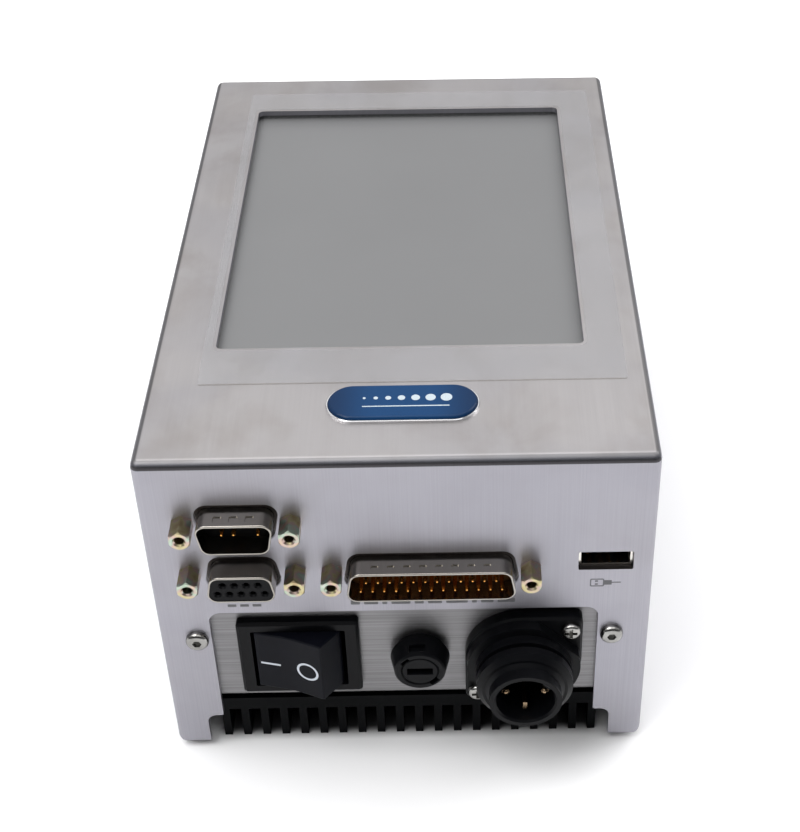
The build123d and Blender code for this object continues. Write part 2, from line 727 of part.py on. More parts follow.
def make_switch_terminals():
    """Four blade terminals behind the switch."""
    back = PANEL_FRONT + SWITCH_DEPTH
    blades = []
    for x in (-8.5, 8.5):
        for z in (-5.5, 5.5):
            place = (SWITCH_AT[0] + x, SWITCH_AT[1] + z)
            blade = prism_y(Rectangle(0.8, 6.3), place, back, back + 8.0)
            hole = block((place[0] - 1, place[0] + 1), (back + 5, back + 6.6), (place[1] - 0.8, place[1] + 0.8))
            blades.append(blade - hole)
    return group(blades)


def make_fuse_holder_body():
    """Fuse holder: tapered head in front of the panel, threaded barrel behind it."""
    head = rod_y(FUSE_AT, FUSE_NECK_R, out(0.5), PANEL_FRONT)
    head += cone_y(FUSE_AT, FUSE_FACE_R, FUSE_BASE_R, out(FUSE_OUT), out(0.4))
    head = chamfer(head.edges().group_by(Axis.Y)[0], 0.35)
    barrel_end = out(-32.0)
    body = head + rod_y(FUSE_AT, FUSE_BARREL_R - 0.1, PANEL_FRONT, barrel_end)
    x, z = FUSE_AT
    body -= block((x - 2.6, x + 1.4), (out(4.3), out(2.5)), (z + 5.5, z + FUSE_BASE_R + 1))
    bore = FUSE_CAP_R + RUNNING_GAP
    body -= rod_y(FUSE_AT, bore, out(FUSE_OUT + 1), out(FUSE_OUT - 9.0))
    body -= cone_y(FUSE_AT, bore + 0.3, bore, out(FUSE_OUT + 0.01), out(FUSE_OUT - 0.3))
    body -= rod_y(FUSE_AT, FUSE_R + 0.7, out(FUSE_OUT + 1), out(-29.0))
    for angle in (135, -45):
        radius = FUSE_CAP_R + 0.35
        dx = radius * math.cos(math.radians(angle))
        dz = radius * math.sin(math.radians(angle))
        key = Pos(x + dx, out(FUSE_OUT) + 0.6, z + dz) * Rot(0, -angle, 0) * Box(1.3, 2.0, 2.6)
        body -= key
    return body


def make_fuse_holder_nut():
    """Plastic nut that clamps the fuse holder to the panel."""
    hexagon = RegularPolygon(8.0, 6, major_radius=False)
    nut = prism_y(hexagon, FUSE_AT, PANEL_BACK, PANEL_BACK + 4.0)
    return nut - rod_y(FUSE_AT, FUSE_BARREL_R, PANEL_BACK - 1, PANEL_BACK + 5)


def make_fuse_holder_terminals():
    """End and side solder tags of the fuse holder."""
    x, z = FUSE_AT
    end = out(-32.0)
    tail = block((x - 2, x + 2), (end, end + 7), (z - 0.3, z + 0.3))
    side_y = (out(-14.0), out(-22.0))
    side = block((x - 2, x + 2), side_y, (z + FUSE_BARREL_R - 0.05, z + FUSE_BARREL_R + 0.6))
    side += block((x - 2, x + 2), (side_y[1] - 0.6, side_y[1]), (z + FUSE_BARREL_R, z + FUSE_BARREL_R + 6))
    return group([tail, side])


def make_fuse_cap():
    """Round carrier cap, flush with the holder's face, with a screwdriver slot."""
    front = out(FUSE_OUT - 0.1)
    cap = rod_y(FUSE_AT, FUSE_CAP_R, front, out(FUSE_OUT - 8.6))
    cap = chamfer(cap.edges().group_by(Axis.Y)[0], 0.25)
    x, z = FUSE_AT
    cap -= block((x - 3.2, x + 3.2), (front - 1, front + 1.8), (z - 1.15, z + 1.15))
    return cap - rod_y(FUSE_AT, FUSE_R + RUNNING_GAP, out(FUSE_OUT - 5.0), out(-10))


def fuse_span():
    """The Y of the fuse's front and back ends."""
    front = out(FUSE_OUT - 5.3)
    return front, front + FUSE_LENGTH


def make_fuse_end_caps():
    """Nickel-plated end caps of the fuse, and its wire."""
    front, back = fuse_span()
    caps = [rod_y(FUSE_AT, FUSE_R, front, front + 5.0), rod_y(FUSE_AT, FUSE_R, back - 5.0, back)]
    bores = [
        rod_y(FUSE_AT, FUSE_R - 0.25, front + 0.5, front + 6),
        rod_y(FUSE_AT, FUSE_R - 0.25, back - 6, back - 0.5),
    ]
    element = rod_y(FUSE_AT, 0.15, front + 0.6, back - 0.6)
    return group([cap - bore for cap, bore in zip(caps, bores)] + [element])


def make_fuse_glass():
    """Glass tube of the fuse with its wire."""
    front, back = fuse_span()
    tube = rod_y(FUSE_AT, FUSE_R - 0.27, front + 0.52, back - 0.52)
    return tube - rod_y(FUSE_AT, FUSE_R - 0.75, front, back)


def inlet_screw_positions():
    """The (x, z) of the two screws on the flange's ears."""
    x, z = INLET_AT
    step = INLET_SCREW_OFFSET
    return [(x + step, z + step - 0.6), (x - step, z - step + 0.6)]


def make_power_inlet_body():
    """Round plastic inlet: eared flange, stepped rings and an open nose."""
    half = INLET_HALF
    flange = outline(
        [(-half, -half, 2.2), (half, -half, half - 0.1), (half, half, 2.2), (-half, half, half - 0.1)]
    )
    body = prism_y(flange, INLET_AT, out(INLET_FLANGE_OUT), PANEL_FRONT)
    body = chamfer(body.edges().group_by(Axis.Y)[0], 0.6)
    boss = rod_y(INLET_AT, INLET_BOSS_R, out(INLET_BOSS_OUT), out(INLET_FLANGE_OUT - 0.5))
    x, z = INLET_AT
    for side in (-1, 1):
        reach = side * (INLET_FLAT + 10) / math.sqrt(2)
        boss -= Pos(x + reach, out(4), z + reach) * Rot(0, -45, 0) * Box(20, 12, 40)
    body += boss
    body += rod_y(INLET_AT, INLET_RING_R, out(7.2), out(INLET_BOSS_OUT))
    body += rod_y(INLET_AT, INLET_RING_R - 1.3, out(8.4), out(7.2))
    body += rod_y(INLET_AT, INLET_RING_R, out(10.5), out(8.4))
    body += cone_y(INLET_AT, 10.4, INLET_RING_R, out(11.6), out(10.5))
    nose = rod_y(INLET_AT, INLET_NOSE_R, out(INLET_NOSE_OUT), out(11.6))
    body += nose
    body += cone_y(INLET_AT, INLET_NOSE_R, INLET_NOSE_R + 0.9, out(12.5), out(11.6))
    rear_end = PANEL_BACK + 15.0
    body += rod_y(INLET_AT, INLET_RING_R - 1.4, PANEL_FRONT, rear_end)
    body -= rod_y(INLET_AT, INLET_MOUTH_R, out(INLET_NOSE_OUT + 1), out(3.0))
    body -= cone_y(INLET_AT, INLET_MOUTH_R + 0.5, INLET_MOUTH_R, out(INLET_NOSE_OUT + 0.01), out(15.0))
    key = Pos(x, out(8.5), z) * Rot(0, -40, 0) * Pos(INLET_MOUTH_R - 0.1, 0, 0) * Box(1.4, 12.0, 2.4)
    body += key
    for at in inlet_screw_positions():
        body -= rod_y(at, M3_CLEAR_R, out(INLET_FLANGE_OUT + 1), PANEL_FRONT + 1)
    for pin in inlet_pin_solids(0.02):
        body -= pin
    return body


def inlet_pin_solids(growth=0.0):
    """Two round pins and one flat earth blade."""
    x, z = INLET_AT
    tip = out(12.7)
    tail = PANEL_BACK + 20.0
    pins = []
    for side in (-1, 1):
        at = (x + side * INLET_PIN_CIRCLE, z)
        radius = 0.85 + growth
        pins.append(rod_y(at, radius, tip + 0.6, tail) + Pos(at[0], tip + 0.85, at[1]) * Sphere(radius))
    blade = Rectangle(1.0 + 2 * growth, 2.3 + 2 * growth)
    pins.append(prism_y(blade, (x, z - INLET_PIN_CIRCLE + 0.2), tip, tail))
    return pins


def make_power_inlet_contacts():
    """Contacts of the mains inlet."""
    return group(inlet_pin_solids())


def make_power_inlet_screws():
    """Two cross-recessed pan-head screws, tapped into the tray's front panel."""
    screws = []
    for at in inlet_screw_positions():
        seat = out(INLET_FLANGE_OUT)
        head = rod_y(at, 2.35, seat - 1.7, seat)
        head = fillet(head.edges().group_by(Axis.Y)[0], 0.9)
        arms = [prism_y(Rectangle(*size), at, seat - 2.5, seat - 0.5) for size in ((3.0, 0.85), (0.85, 3.0))]
        shank = rod_y(at, M3_R, seat, PANEL_BACK + 4.0)
        screws.append(head + shank - arms)
    return group(screws)


def make_io_board():
    """Upright board behind the signal connectors."""
    return block((-57, 57), (IO_BOARD_FRONT, IO_BOARD_FRONT + BOARD_T), (56, 82)) - block(
        (-57.5, -40), (IO_BOARD_FRONT - 1, IO_BOARD_FRONT + 3), (55, 58)
    )


def main_screw_positions():
    """The (x, y) of the main board's fixings."""
    return [(x, y) for x in (-46.0, 46.0) for y in (-54.0, 76.0)]


def psu_screw_positions():
    """The (x, y) of the power supply's fixings."""
    xs = (PSU_X[0] + 4, PSU_X[1] - 4)
    ys = (PSU_Y[0] + 4, PSU_Y[1] - 4)
    return [(x, y) for x in xs for y in ys]


def driver_screw_positions():
    """The (x, y) of the driver board's fixings."""
    xs = (DRIVER_X[0] + 4, DRIVER_X[1] - 4)
    ys = (DRIVER_Y[0] + 4, DRIVER_Y[1] - 4)
    return [(x, y) for x in xs for y in ys]


def board_with_holes(x_range, y_range, bottom, places):
    """A circuit board with a clearance hole at each fixing."""
    board = block(x_range, y_range, (bottom, bottom + BOARD_T))
    return board - [rod_z(x, y, M3_CLEAR_R, bottom - 1, bottom + BOARD_T + 1) for x, y in places]


def make_main_board():
    """Processor board under the screen."""
    return board_with_holes((-MAIN_HALF_X, MAIN_HALF_X), MAIN_Y, MAIN_BOARD_Z, main_screw_positions())


def make_main_board_chips():
    """Processor, memories and interface chips on the underside of the main board."""
    chips = []
    for x, y, wide, long, tall in (
        (-5, 10, 27, 27, 2.6),
        (26, 14, 12, 18, 1.6),
        (26, -10, 12, 18, 1.6),
        (-34, 30, 14, 20, 1.8),
        (-34, 2, 10, 12, 1.8),
        (4, 48, 20, 14, 2.2),
        (-8, -34, 16, 11, 2.4),
    ):
        x_range = (x - wide / 2, x + wide / 2)
        y_range = (y - long / 2, y + long / 2)
        chips.append(block(x_range, y_range, (MAIN_BOARD_Z - tall, MAIN_BOARD_Z)))
    return group(chips)


def make_main_board_headers():
    """Shrouded headers for the screen, the connector board and the driver board."""
    headers = []
    for x, y, wide, long in ((10, -52, 50, 8), (40, 40, 8, 40), (-40, -30, 8, 30)):
        header = block((x - wide / 2, x + wide / 2), (y - long / 2, y + long / 2), (MAIN_BOARD_Z - 8, MAIN_BOARD_Z))
        wall = 1.2
        well = block(
            (x - wide / 2 + wall, x + wide / 2 - wall),
            (y - long / 2 + wall, y + long / 2 - wall),
            (MAIN_BOARD_Z - 9, MAIN_BOARD_Z - 2),
        )
        headers.append(header - well)
    return group(headers)


def make_coin_cell_holder():
    """Holder of the clock's cell."""
    cup = rod_z(-30, 62, 12.0, MAIN_BOARD_Z - 5, MAIN_BOARD_Z)
    return cup - rod_z(-30, 62, 10.3, MAIN_BOARD_Z - 6, MAIN_BOARD_Z - 1)


def make_coin_cell():
    """Lithium cell that keeps the clock running."""
    return rod_z(-30, 62, 10.0, MAIN_BOARD_Z - 4.6, MAIN_BOARD_Z - 1.2)


def make_buzzer():
    """Round sounder on the main board."""
    can = rod_z(-26, -48, 6.0, MAIN_BOARD_Z - 9, MAIN_BOARD_Z)
    return can - rod_z(-26, -48, 1.2, MAIN_BOARD_Z - 10, MAIN_BOARD_Z - 6)


def make_psu_board():
    """Mains power supply board."""
    return board_with_holes(PSU_X, PSU_Y, LOW_BOARD_Z, psu_screw_positions())


def make_psu_transformer():
    """Ferrite transformer with its bobbin."""
    top = LOW_BOARD_Z + BOARD_T
    core = block((-38, -6), (28, 54), (top + 3, top + 25))
    core -= block((-39, -5), (33, 49), (top + 8, top + 20))
    winding = block((-33, -11), (33.2, 48.8), (top + 8.2, top + 19.8))
    foot = block((-36, -8), (30, 52), (top, top + 3))
    return core + foot + winding + block((-34, -10), (36, 46), (top + 2, top + 26))


def make_psu_capacitors():
    """Mains and output electrolytic capacitors."""
    top = LOW_BOARD_Z + BOARD_T
    cans = [rod_z(-40, 2, 11.0, top, top + 28)]
    cans += [rod_z(4, y, 5.0, top, top + 20) for y in (34, 47, 60)]
    return group([fillet(can.edges().sort_by(Axis.Z)[-1], 0.8) for can in cans])


def make_psu_choke():
    """Common-mode choke at the mains input."""
    top = LOW_BOARD_Z + BOARD_T
    ring = Torus(8.0, 3.6)
    return Pos(-14, -2, top + 12.0) * Rot(90, 0, 0) * ring


def make_psu_heat_bracket():
    """Aluminium angle that takes the switching devices' heat to the floor."""
    upright = block((-57.3, -55), (20, 78), (FLOOR_TOP + 1.0, 52)) - block(
        (-56.2, -54), (19, 79), (LOW_BOARD_Z - 0.3, LOW_BOARD_Z + BOARD_T + 0.3)
    )
    return upright


def make_driver_board():
    """Printhead driver board."""
    return board_with_holes(DRIVER_X, DRIVER_Y, LOW_BOARD_Z, driver_screw_positions())


def make_driver_parts():
    """Power devices, inductors and output header of the driver board."""
    top = LOW_BOARD_Z + BOARD_T
    parts = [rod_z(30, y, 6.0, top, top + 8) for y in (0, 16, 32)]
    parts += [block((42, 52), (y, y + 9), (top, top + 4.5)) for y in range(-16, 60, 12)]
    parts.append(block((22, 48), (68, 76), (top, top + 9)))
    return group(parts)


def make_board_standoffs():
    """Hexagonal spacers under the low boards and above the main board."""
    low = psu_screw_positions() + driver_screw_positions()
    hexagon = RegularPolygon(2.75, 6, major_radius=False)
    spacers = []
    for x, y in low:
        spacer = prism_z(hexagon, x, y, FLOOR_TOP, LOW_BOARD_Z)
        spacers.append(spacer - rod_z(x, y, M3_TAP_R, FLOOR_TOP + 1, LOW_BOARD_Z + 1))
    for x, y in main_screw_positions():
        spacer = prism_z(hexagon, x, y, MAIN_BOARD_Z + BOARD_T, BRACKET_Z)
        spacers.append(spacer - rod_z(x, y, M3_TAP_R, MAIN_BOARD_Z, BRACKET_Z - 2))
    return group(spacers)


def make_pan_screws():
    """Pan-head screws: boards to their spacers, and the tray's floor to the heat sink."""
    top = LOW_BOARD_Z + BOARD_T
    low = psu_screw_positions() + driver_screw_positions()
    screws = [pan_screw_z(x, y, top, top - 6) for x, y in low]
    screws += [pan_screw_z(x, y, MAIN_BOARD_Z, MAIN_BOARD_Z + 7) for x, y in main_screw_positions()]
    screws += [pan_screw_z(x, y, FLOOR_TOP, FIN_H + 0.8) for x, y in sink_screw_positions()]
    return group(screws)


def ribbon(points, width_range, thickness=0.9):
    """A flat cable: points are its (y, z) route, width_range its edges in X."""
    path = outline_strip(points, thickness)
    plane = Plane(origin=(width_range[0], 0, 0), x_dir=(0, 1, 0), z_dir=(1, 0, 0))
    return extrude(plane * path, amount=width_range[1] - width_range[0])


def outline_strip(points, thickness):
    """A strip of constant thickness along a route of level and upright runs."""
    strip = Sketch()
    half = thickness / 2
    for (y0, z0), (y1, z1) in zip(points, points[1:]):
        low_y, high_y = sorted((y0, y1))
        low_z, high_z = sorted((z0, z1))
        middle = Pos((low_y + high_y) / 2, (low_z + high_z) / 2)
        strip += middle * Rectangle(high_y - low_y + 2 * half, high_z - low_z + 2 * half)
    return strip


def make_flat_cables():
    """Flat cables from the connector board and the screen module to the main board."""
    start = IO_BOARD_FRONT + BOARD_T + 0.5
    low = [(start, 60), (start + 6, 60), (start + 6, 58.5), (-52, 58.5), (-52, MAIN_BOARD_Z - 2.6)]
    start = WINDOW_Y - LCD_HALF_Y - 0.3
    high = [(start, 88), (start - 2.5, 88), (start - 2.5, 73), (start + 6, 73)]
    return group([ribbon(low, (-12, 32)), ribbon(high, (-30, 10), 0.5)])


def wire(points, radius=1.0):
    """An insulated wire along straight runs with rounded corners."""
    path = FilletPolyline(*points, radius=3.5)
    section = Plane(origin=path @ 0, z_dir=path % 0) * Circle(radius)
    return sweep(section, path=path)


def make_mains_wiring():
    """Insulated wires from the inlet through the switch and the fuse to the power supply."""
    switch_back = PANEL_FRONT + SWITCH_DEPTH + 8.2
    fuse_back = out(-39.4)
    inlet_back = PANEL_BACK + 20.2
    x_switch, z_switch = SWITCH_AT
    x_inlet, z_inlet = INLET_AT
    first_z = z_switch + 5.5
    runs = [
        [
            (x_inlet - INLET_PIN_CIRCLE, inlet_back, z_inlet),
            (x_inlet - INLET_PIN_CIRCLE, inlet_back + 20, z_inlet),
            (x_inlet - INLET_PIN_CIRCLE, inlet_back + 20, 48),
            (x_switch + 8.5, inlet_back + 20, 48),
            (x_switch + 8.5, inlet_back + 20, first_z),
            (x_switch + 8.5, switch_back, first_z),
        ],
        [
            (FUSE_AT[0], fuse_back, FUSE_AT[1]),
            (FUSE_AT[0], fuse_back + 10, FUSE_AT[1]),
            (FUSE_AT[0], fuse_back + 10, LOW_BOARD_Z + BOARD_T + 14),
            (FUSE_AT[0], PSU_Y[0] + 12, LOW_BOARD_Z + BOARD_T + 14),
            (FUSE_AT[0], PSU_Y[0] + 12, LOW_BOARD_Z + BOARD_T),
        ],
        [
            (x_switch - 8.5, switch_back, first_z),
            (x_switch - 8.5, PSU_Y[0] + 2, first_z),
            (x_switch - 8.5, PSU_Y[0] + 2, LOW_BOARD_Z + BOARD_T),
        ],
    ]
    return group([wire(points) for points in runs])


NODES = {
    "outer_cover": make_outer_cover,
    "cover_screws": make_cover_screws,
    "chassis_tray": make_chassis_tray,
    "heat_sink": make_heat_sink,
    "heat_spreader": make_heat_spreader,
    "window_gasket": make_window_gasket,
    "touch_panel": make_touch_panel,
    "lcd_module": make_lcd_module,
    "lcd_bracket": make_lcd_bracket,
    "lcd_screws": make_lcd_screws,
    "overlay_film": make_overlay_film,
    "badge_plate": make_badge_plate,
    "badge_dome": make_badge_dome,
    "rs232_shell": make_rs232_shell,
    "rs232_insert": make_rs232_insert,
    "rs232_pins": make_rs232_pins,
    "encoder_shell": make_encoder_shell,
    "encoder_insert": make_encoder_insert,
    "encoder_contacts": make_encoder_contacts,
    "printhead_shell": make_printhead_shell,
    "printhead_insert": make_printhead_insert,
    "printhead_pins": make_printhead_pins,
    "jackscrews": make_jackscrews,
    "jackscrew_nuts": make_jackscrew_nuts,
    "usb_shell": make_usb_shell,
    "usb_tongue": make_usb_tongue,
    "usb_contacts": make_usb_contacts,
    "switch_housing": make_switch_housing,
    "switch_rocker": make_switch_rocker,
    "switch_plunger": make_switch_plunger,
    "switch_contact_lever": make_switch_contact_lever,
    "switch_terminals": make_switch_terminals,
    "fuse_holder_body": make_fuse_holder_body,
    "fuse_holder_nut": make_fuse_holder_nut,
    "fuse_holder_terminals": make_fuse_holder_terminals,
    "fuse_cap": make_fuse_cap,
    "fuse_end_caps": make_fuse_end_caps,
    "fuse_glass": make_fuse_glass,
    "power_inlet_body": make_power_inlet_body,
    "power_inlet_contacts": make_power_inlet_contacts,
    "power_inlet_screws": make_power_inlet_screws,
    "io_board": make_io_board,
    "main_board": make_main_board,
    "main_board_chips": make_main_board_chips,
    "main_board_headers": make_main_board_headers,
    "coin_cell_holder": make_coin_cell_holder,
    "coin_cell": make_coin_cell,
    "buzzer": make_buzzer,
    "psu_board": make_psu_board,
    "psu_transformer": make_psu_transformer,
    "psu_capacitors": make_psu_capacitors,
    "psu_choke": make_psu_choke,
    "psu_heat_bracket": make_psu_heat_bracket,
    "driver_board": make_driver_board,
    "driver_parts": make_driver_parts,
    "board_standoffs": make_board_standoffs,
    "pan_screws": make_pan_screws,
    "flat_cables": make_flat_cables,
    "mains_wiring": make_mains_wiring,
}

os.makedirs("parts", exist_ok=True)
for node, make in NODES.items():
    export_step(make(), f"parts/{node}.step")
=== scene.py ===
"""Looks for the touch-screen controller of an inkjet date coder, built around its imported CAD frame."""

import json
import math

import bmesh
import bpy
from mathutils import Euler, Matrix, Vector
from mathutils.bvhtree import BVHTree


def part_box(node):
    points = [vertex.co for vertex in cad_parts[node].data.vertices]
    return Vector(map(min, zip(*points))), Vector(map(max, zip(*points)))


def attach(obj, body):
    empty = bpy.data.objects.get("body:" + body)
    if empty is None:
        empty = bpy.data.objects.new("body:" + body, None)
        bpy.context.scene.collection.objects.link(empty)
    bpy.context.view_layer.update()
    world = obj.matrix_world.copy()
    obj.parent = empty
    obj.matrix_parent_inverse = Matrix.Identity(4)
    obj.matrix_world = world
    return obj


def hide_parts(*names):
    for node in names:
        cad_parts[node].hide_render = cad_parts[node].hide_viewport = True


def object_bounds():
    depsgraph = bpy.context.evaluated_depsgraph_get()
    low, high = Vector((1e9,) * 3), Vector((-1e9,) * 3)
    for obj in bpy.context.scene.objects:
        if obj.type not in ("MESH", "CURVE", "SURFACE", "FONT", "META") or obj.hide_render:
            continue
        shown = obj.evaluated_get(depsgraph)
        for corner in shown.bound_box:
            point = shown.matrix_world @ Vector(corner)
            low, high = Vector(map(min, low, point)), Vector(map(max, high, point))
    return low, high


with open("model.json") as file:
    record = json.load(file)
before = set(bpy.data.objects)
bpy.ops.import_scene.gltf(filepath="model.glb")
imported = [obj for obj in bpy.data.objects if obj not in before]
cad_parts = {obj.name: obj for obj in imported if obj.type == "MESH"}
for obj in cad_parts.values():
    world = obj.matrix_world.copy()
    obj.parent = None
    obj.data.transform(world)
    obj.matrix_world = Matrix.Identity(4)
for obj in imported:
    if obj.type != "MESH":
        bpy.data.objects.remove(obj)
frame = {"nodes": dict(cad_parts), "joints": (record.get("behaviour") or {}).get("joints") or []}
CAD_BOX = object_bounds()
NODES = frame["nodes"]
MM = 0.001

# Camera: where it stands, how it is turned, and how the picture is framed
CAMERA_AT = (0.01484, -0.35908, 0.33486)
CAMERA_TURN = (52.3786, 0.3348, -1.0304)
CAMERA_LENS = 69.068
CAMERA_SHIFT = (-0.0935, -0.0751)

# How finely marks are drawn, and how far the ink stands out in metres
RING_STEPS = 64
DOT_STEPS = 24
CORNER_STEPS = 4
ROCKER_BAR_PIECES = 5
INK_HEIGHT = 0.03 * MM

# Printed marks, in millimetres
ROCKER_REACH = 8
ROCKER_MARK_Z = -0.7
ROCKER_BAR_X = (-7.55, -2.5)
ROCKER_BAR_HALF = 0.3
ROCKER_RING_X = 4.68
ROCKER_RING_RADII = (2.92, 2.32)
DASH_PITCH = 3.0
DASH_SHIFT = -0.7
DASH_HALF = 1.05
DASH_Z = (51.9, 52.7)
LEGEND_START = -12.6
LEGEND_WIDTHS = (2.2, 3.4, 1.2, 4.6, 2.2, 3.4, 5.2, 1.2, 3.0, 4.2)
LEGEND_GAP = 1.0
LEGEND_Z = (52.0, 53.4)
USB_MARK_DROP = 4.5

# Badge motif: dots numbered from 0, whose radius and spacing grow, over a line; in millimetres
DOT_COUNT = 7
DOT_START = -9.0
DOT_PITCH = 2.6
DOT_PITCH_GROWTH = 0.10
DOT_RADIUS = 0.35
DOT_RADIUS_GROWTH = 0.17
DOT_Y = 0.9
MOTIF_LINE_X = (-9.4, 10.9)
MOTIF_LINE_Y = (-2.3, -1.95)

# Brushing on metal: noise cells per metre across its lines and along them
GRAIN_LINES = 2600.0
GRAIN_RUN = 26.0

# Clear film round the window
FILM_INSET = 3.7 * MM
FILM_OUTER_CORNER = 0.7 * MM
FILM_INNER_CORNER = 2.0 * MM
FILM_LIFT = 0.02 * MM
FILM_THICKNESS = 0.10 * MM

# Studio
FLOOR_HALF = 20.0
SHADE_EDGE = 2.5 * MM
SKY_LEVELS = [(0.0, 0.16), (0.15, 0.32), (0.35, 0.72), (0.60, 0.95), (1.0, 1.05)]
SKY_DIM_TO_BRIGHT = ((-0.60, 0.20), (0.14, 1.15))


# --- Materials -------------------------------------------------------------------------------


class Paint:
    """One material's nodes, with short calls for the kinds that are used here."""

    def __init__(self, name, **shader_values):
        self.material = bpy.data.materials.new(name)
        self.material.use_nodes = True
        self.tree = self.material.node_tree
        self.shader = self.tree.nodes["Principled BSDF"]
        self.place = self.tree.nodes.new("ShaderNodeTexCoord")
        for socket, value in shader_values.items():
            self.shader.inputs[socket.replace("_", " ")].default_value = value

    def node(self, kind, values=(), **settings):
        """A new node; values feeds its inputs in order, None leaving one as it is."""
        made = self.tree.nodes.new(kind)
        for setting, value in settings.items():
            setattr(made, setting, value)
        for socket, value in zip(made.inputs, values):
            self.feed(socket, value)
        return made

    def feed(self, socket, value):
        """Links an output to an input, or writes a constant into it."""
        if value is None:
            return
        if isinstance(value, bpy.types.NodeSocket):
            self.tree.links.new(value, socket)
        else:
            socket.default_value = value

    def stretched(self, stretch):
        """The object's own coordinates, scaled along each axis."""
        mapping = self.node("ShaderNodeMapping")
        self.feed(mapping.inputs["Vector"], self.place.outputs["Object"])
        self.feed(mapping.inputs["Scale"], stretch)
        return mapping.outputs["Vector"]

    def noise(self, stretch, detail=3.0, distortion=0.0):
        """Noise from 0 to 1; stretch is its cells per metre along X, Y and Z."""
        if not isinstance(stretch, tuple):
            stretch = (stretch, stretch, stretch)
        made = self.node("ShaderNodeTexNoise")
        self.feed(made.inputs["Vector"], self.stretched(stretch))
        self.feed(made.inputs["Scale"], 1.0)
        self.feed(made.inputs["Detail"], detail)
        self.feed(made.inputs["Distortion"], distortion)
        return made.outputs["Fac"]

    def specks(self, per_metre, size):
        """1 on small round specks, one in each cell, and 0 between them."""
        made = self.node("ShaderNodeTexVoronoi")
        self.feed(made.inputs["Vector"], self.stretched((per_metre, per_metre, per_metre)))
        self.feed(made.inputs["Scale"], 1.0)
        return self.between(made.outputs["Distance"], size, 0.0)

    def waves(self, stretch, axis, distortion=0.0):
        """Parallel bands across one axis."""
        made = self.node("ShaderNodeTexWave", bands_direction=axis)
        self.feed(made.inputs["Vector"], self.stretched(stretch))
        self.feed(made.inputs["Scale"], 1.0)
        self.feed(made.inputs["Distortion"], distortion)
        return made.outputs["Fac"]

    def between(self, value, low, high):
        """value's way from low to high, as a smooth 0 to 1."""
        made = self.node("ShaderNodeMapRange", (value, low, high, 0.0, 1.0), interpolation_type="SMOOTHSTEP")
        return made.outputs["Result"]

    def scaled(self, value, low, high):
        """A 0 to 1 value spread from low to high."""
        return self.node("ShaderNodeMapRange", (value, 0.0, 1.0, low, high)).outputs["Result"]

    def maths(self, operation, first, second=None):
        """One arithmetic step."""
        return self.node("ShaderNodeMath", (first, second), operation=operation).outputs[0]

    def ramp(self, value, stops):
        """A colour read from value; stops are (position, (red, green, blue))."""
        made = self.node("ShaderNodeValToRGB", (value,))
        elements = made.color_ramp.elements
        while len(elements) < len(stops):
            elements.new(0.5)
        for element, (position, colour) in zip(elements, stops):
            element.position = position
            element.color = (*colour, 1.0)
        return made.outputs["Color"]

    def blend(self, amount, first, second, way="MIX"):
        """Mixes two colours."""
        made = self.node("ShaderNodeMix", data_type="RGBA", blend_type=way)
        self.feed(made.inputs["Factor"], amount)
        for socket, value in ((made.inputs[6], first), (made.inputs[7], second)):
            self.feed(socket, (*value, 1.0) if isinstance(value, tuple) else value)
        return made.outputs[2]

    def shades(self, value, colour, spread):
        """colour, from darker to lighter by spread as value goes from 0 to 1."""
        dark = tuple(part * (1.0 - spread) for part in colour)
        light = tuple(min(1.0, part * (1.0 + spread)) for part in colour)
        return self.ramp(value, [(0.3, dark), (0.7, light)])

    def bump(self, height, distance, strength=1.0):
        """Raises the surface by height times distance metres."""
        made = self.node("ShaderNodeBump")
        self.feed(made.inputs["Height"], height)
        self.feed(made.inputs["Distance"], distance)
        self.feed(made.inputs["Strength"], strength)
        if self.shader.inputs["Normal"].is_linked:
            self.feed(made.inputs["Normal"], self.shader.inputs["Normal"].links[0].from_socket)
        self.feed(self.shader.inputs["Normal"], made.outputs["Normal"])

    def finish(self, colour=None, roughness=None):
        """Feeds the shader and hands over the material."""
        self.feed(self.shader.inputs["Base Color"], colour)
        self.feed(self.shader.inputs["Roughness"], roughness)
        return self.material


def grain_stretch(along):
    """Noise cells for brushing whose lines run along one axis."""
    return tuple(GRAIN_RUN if axis == along else GRAIN_LINES for axis in "XYZ")


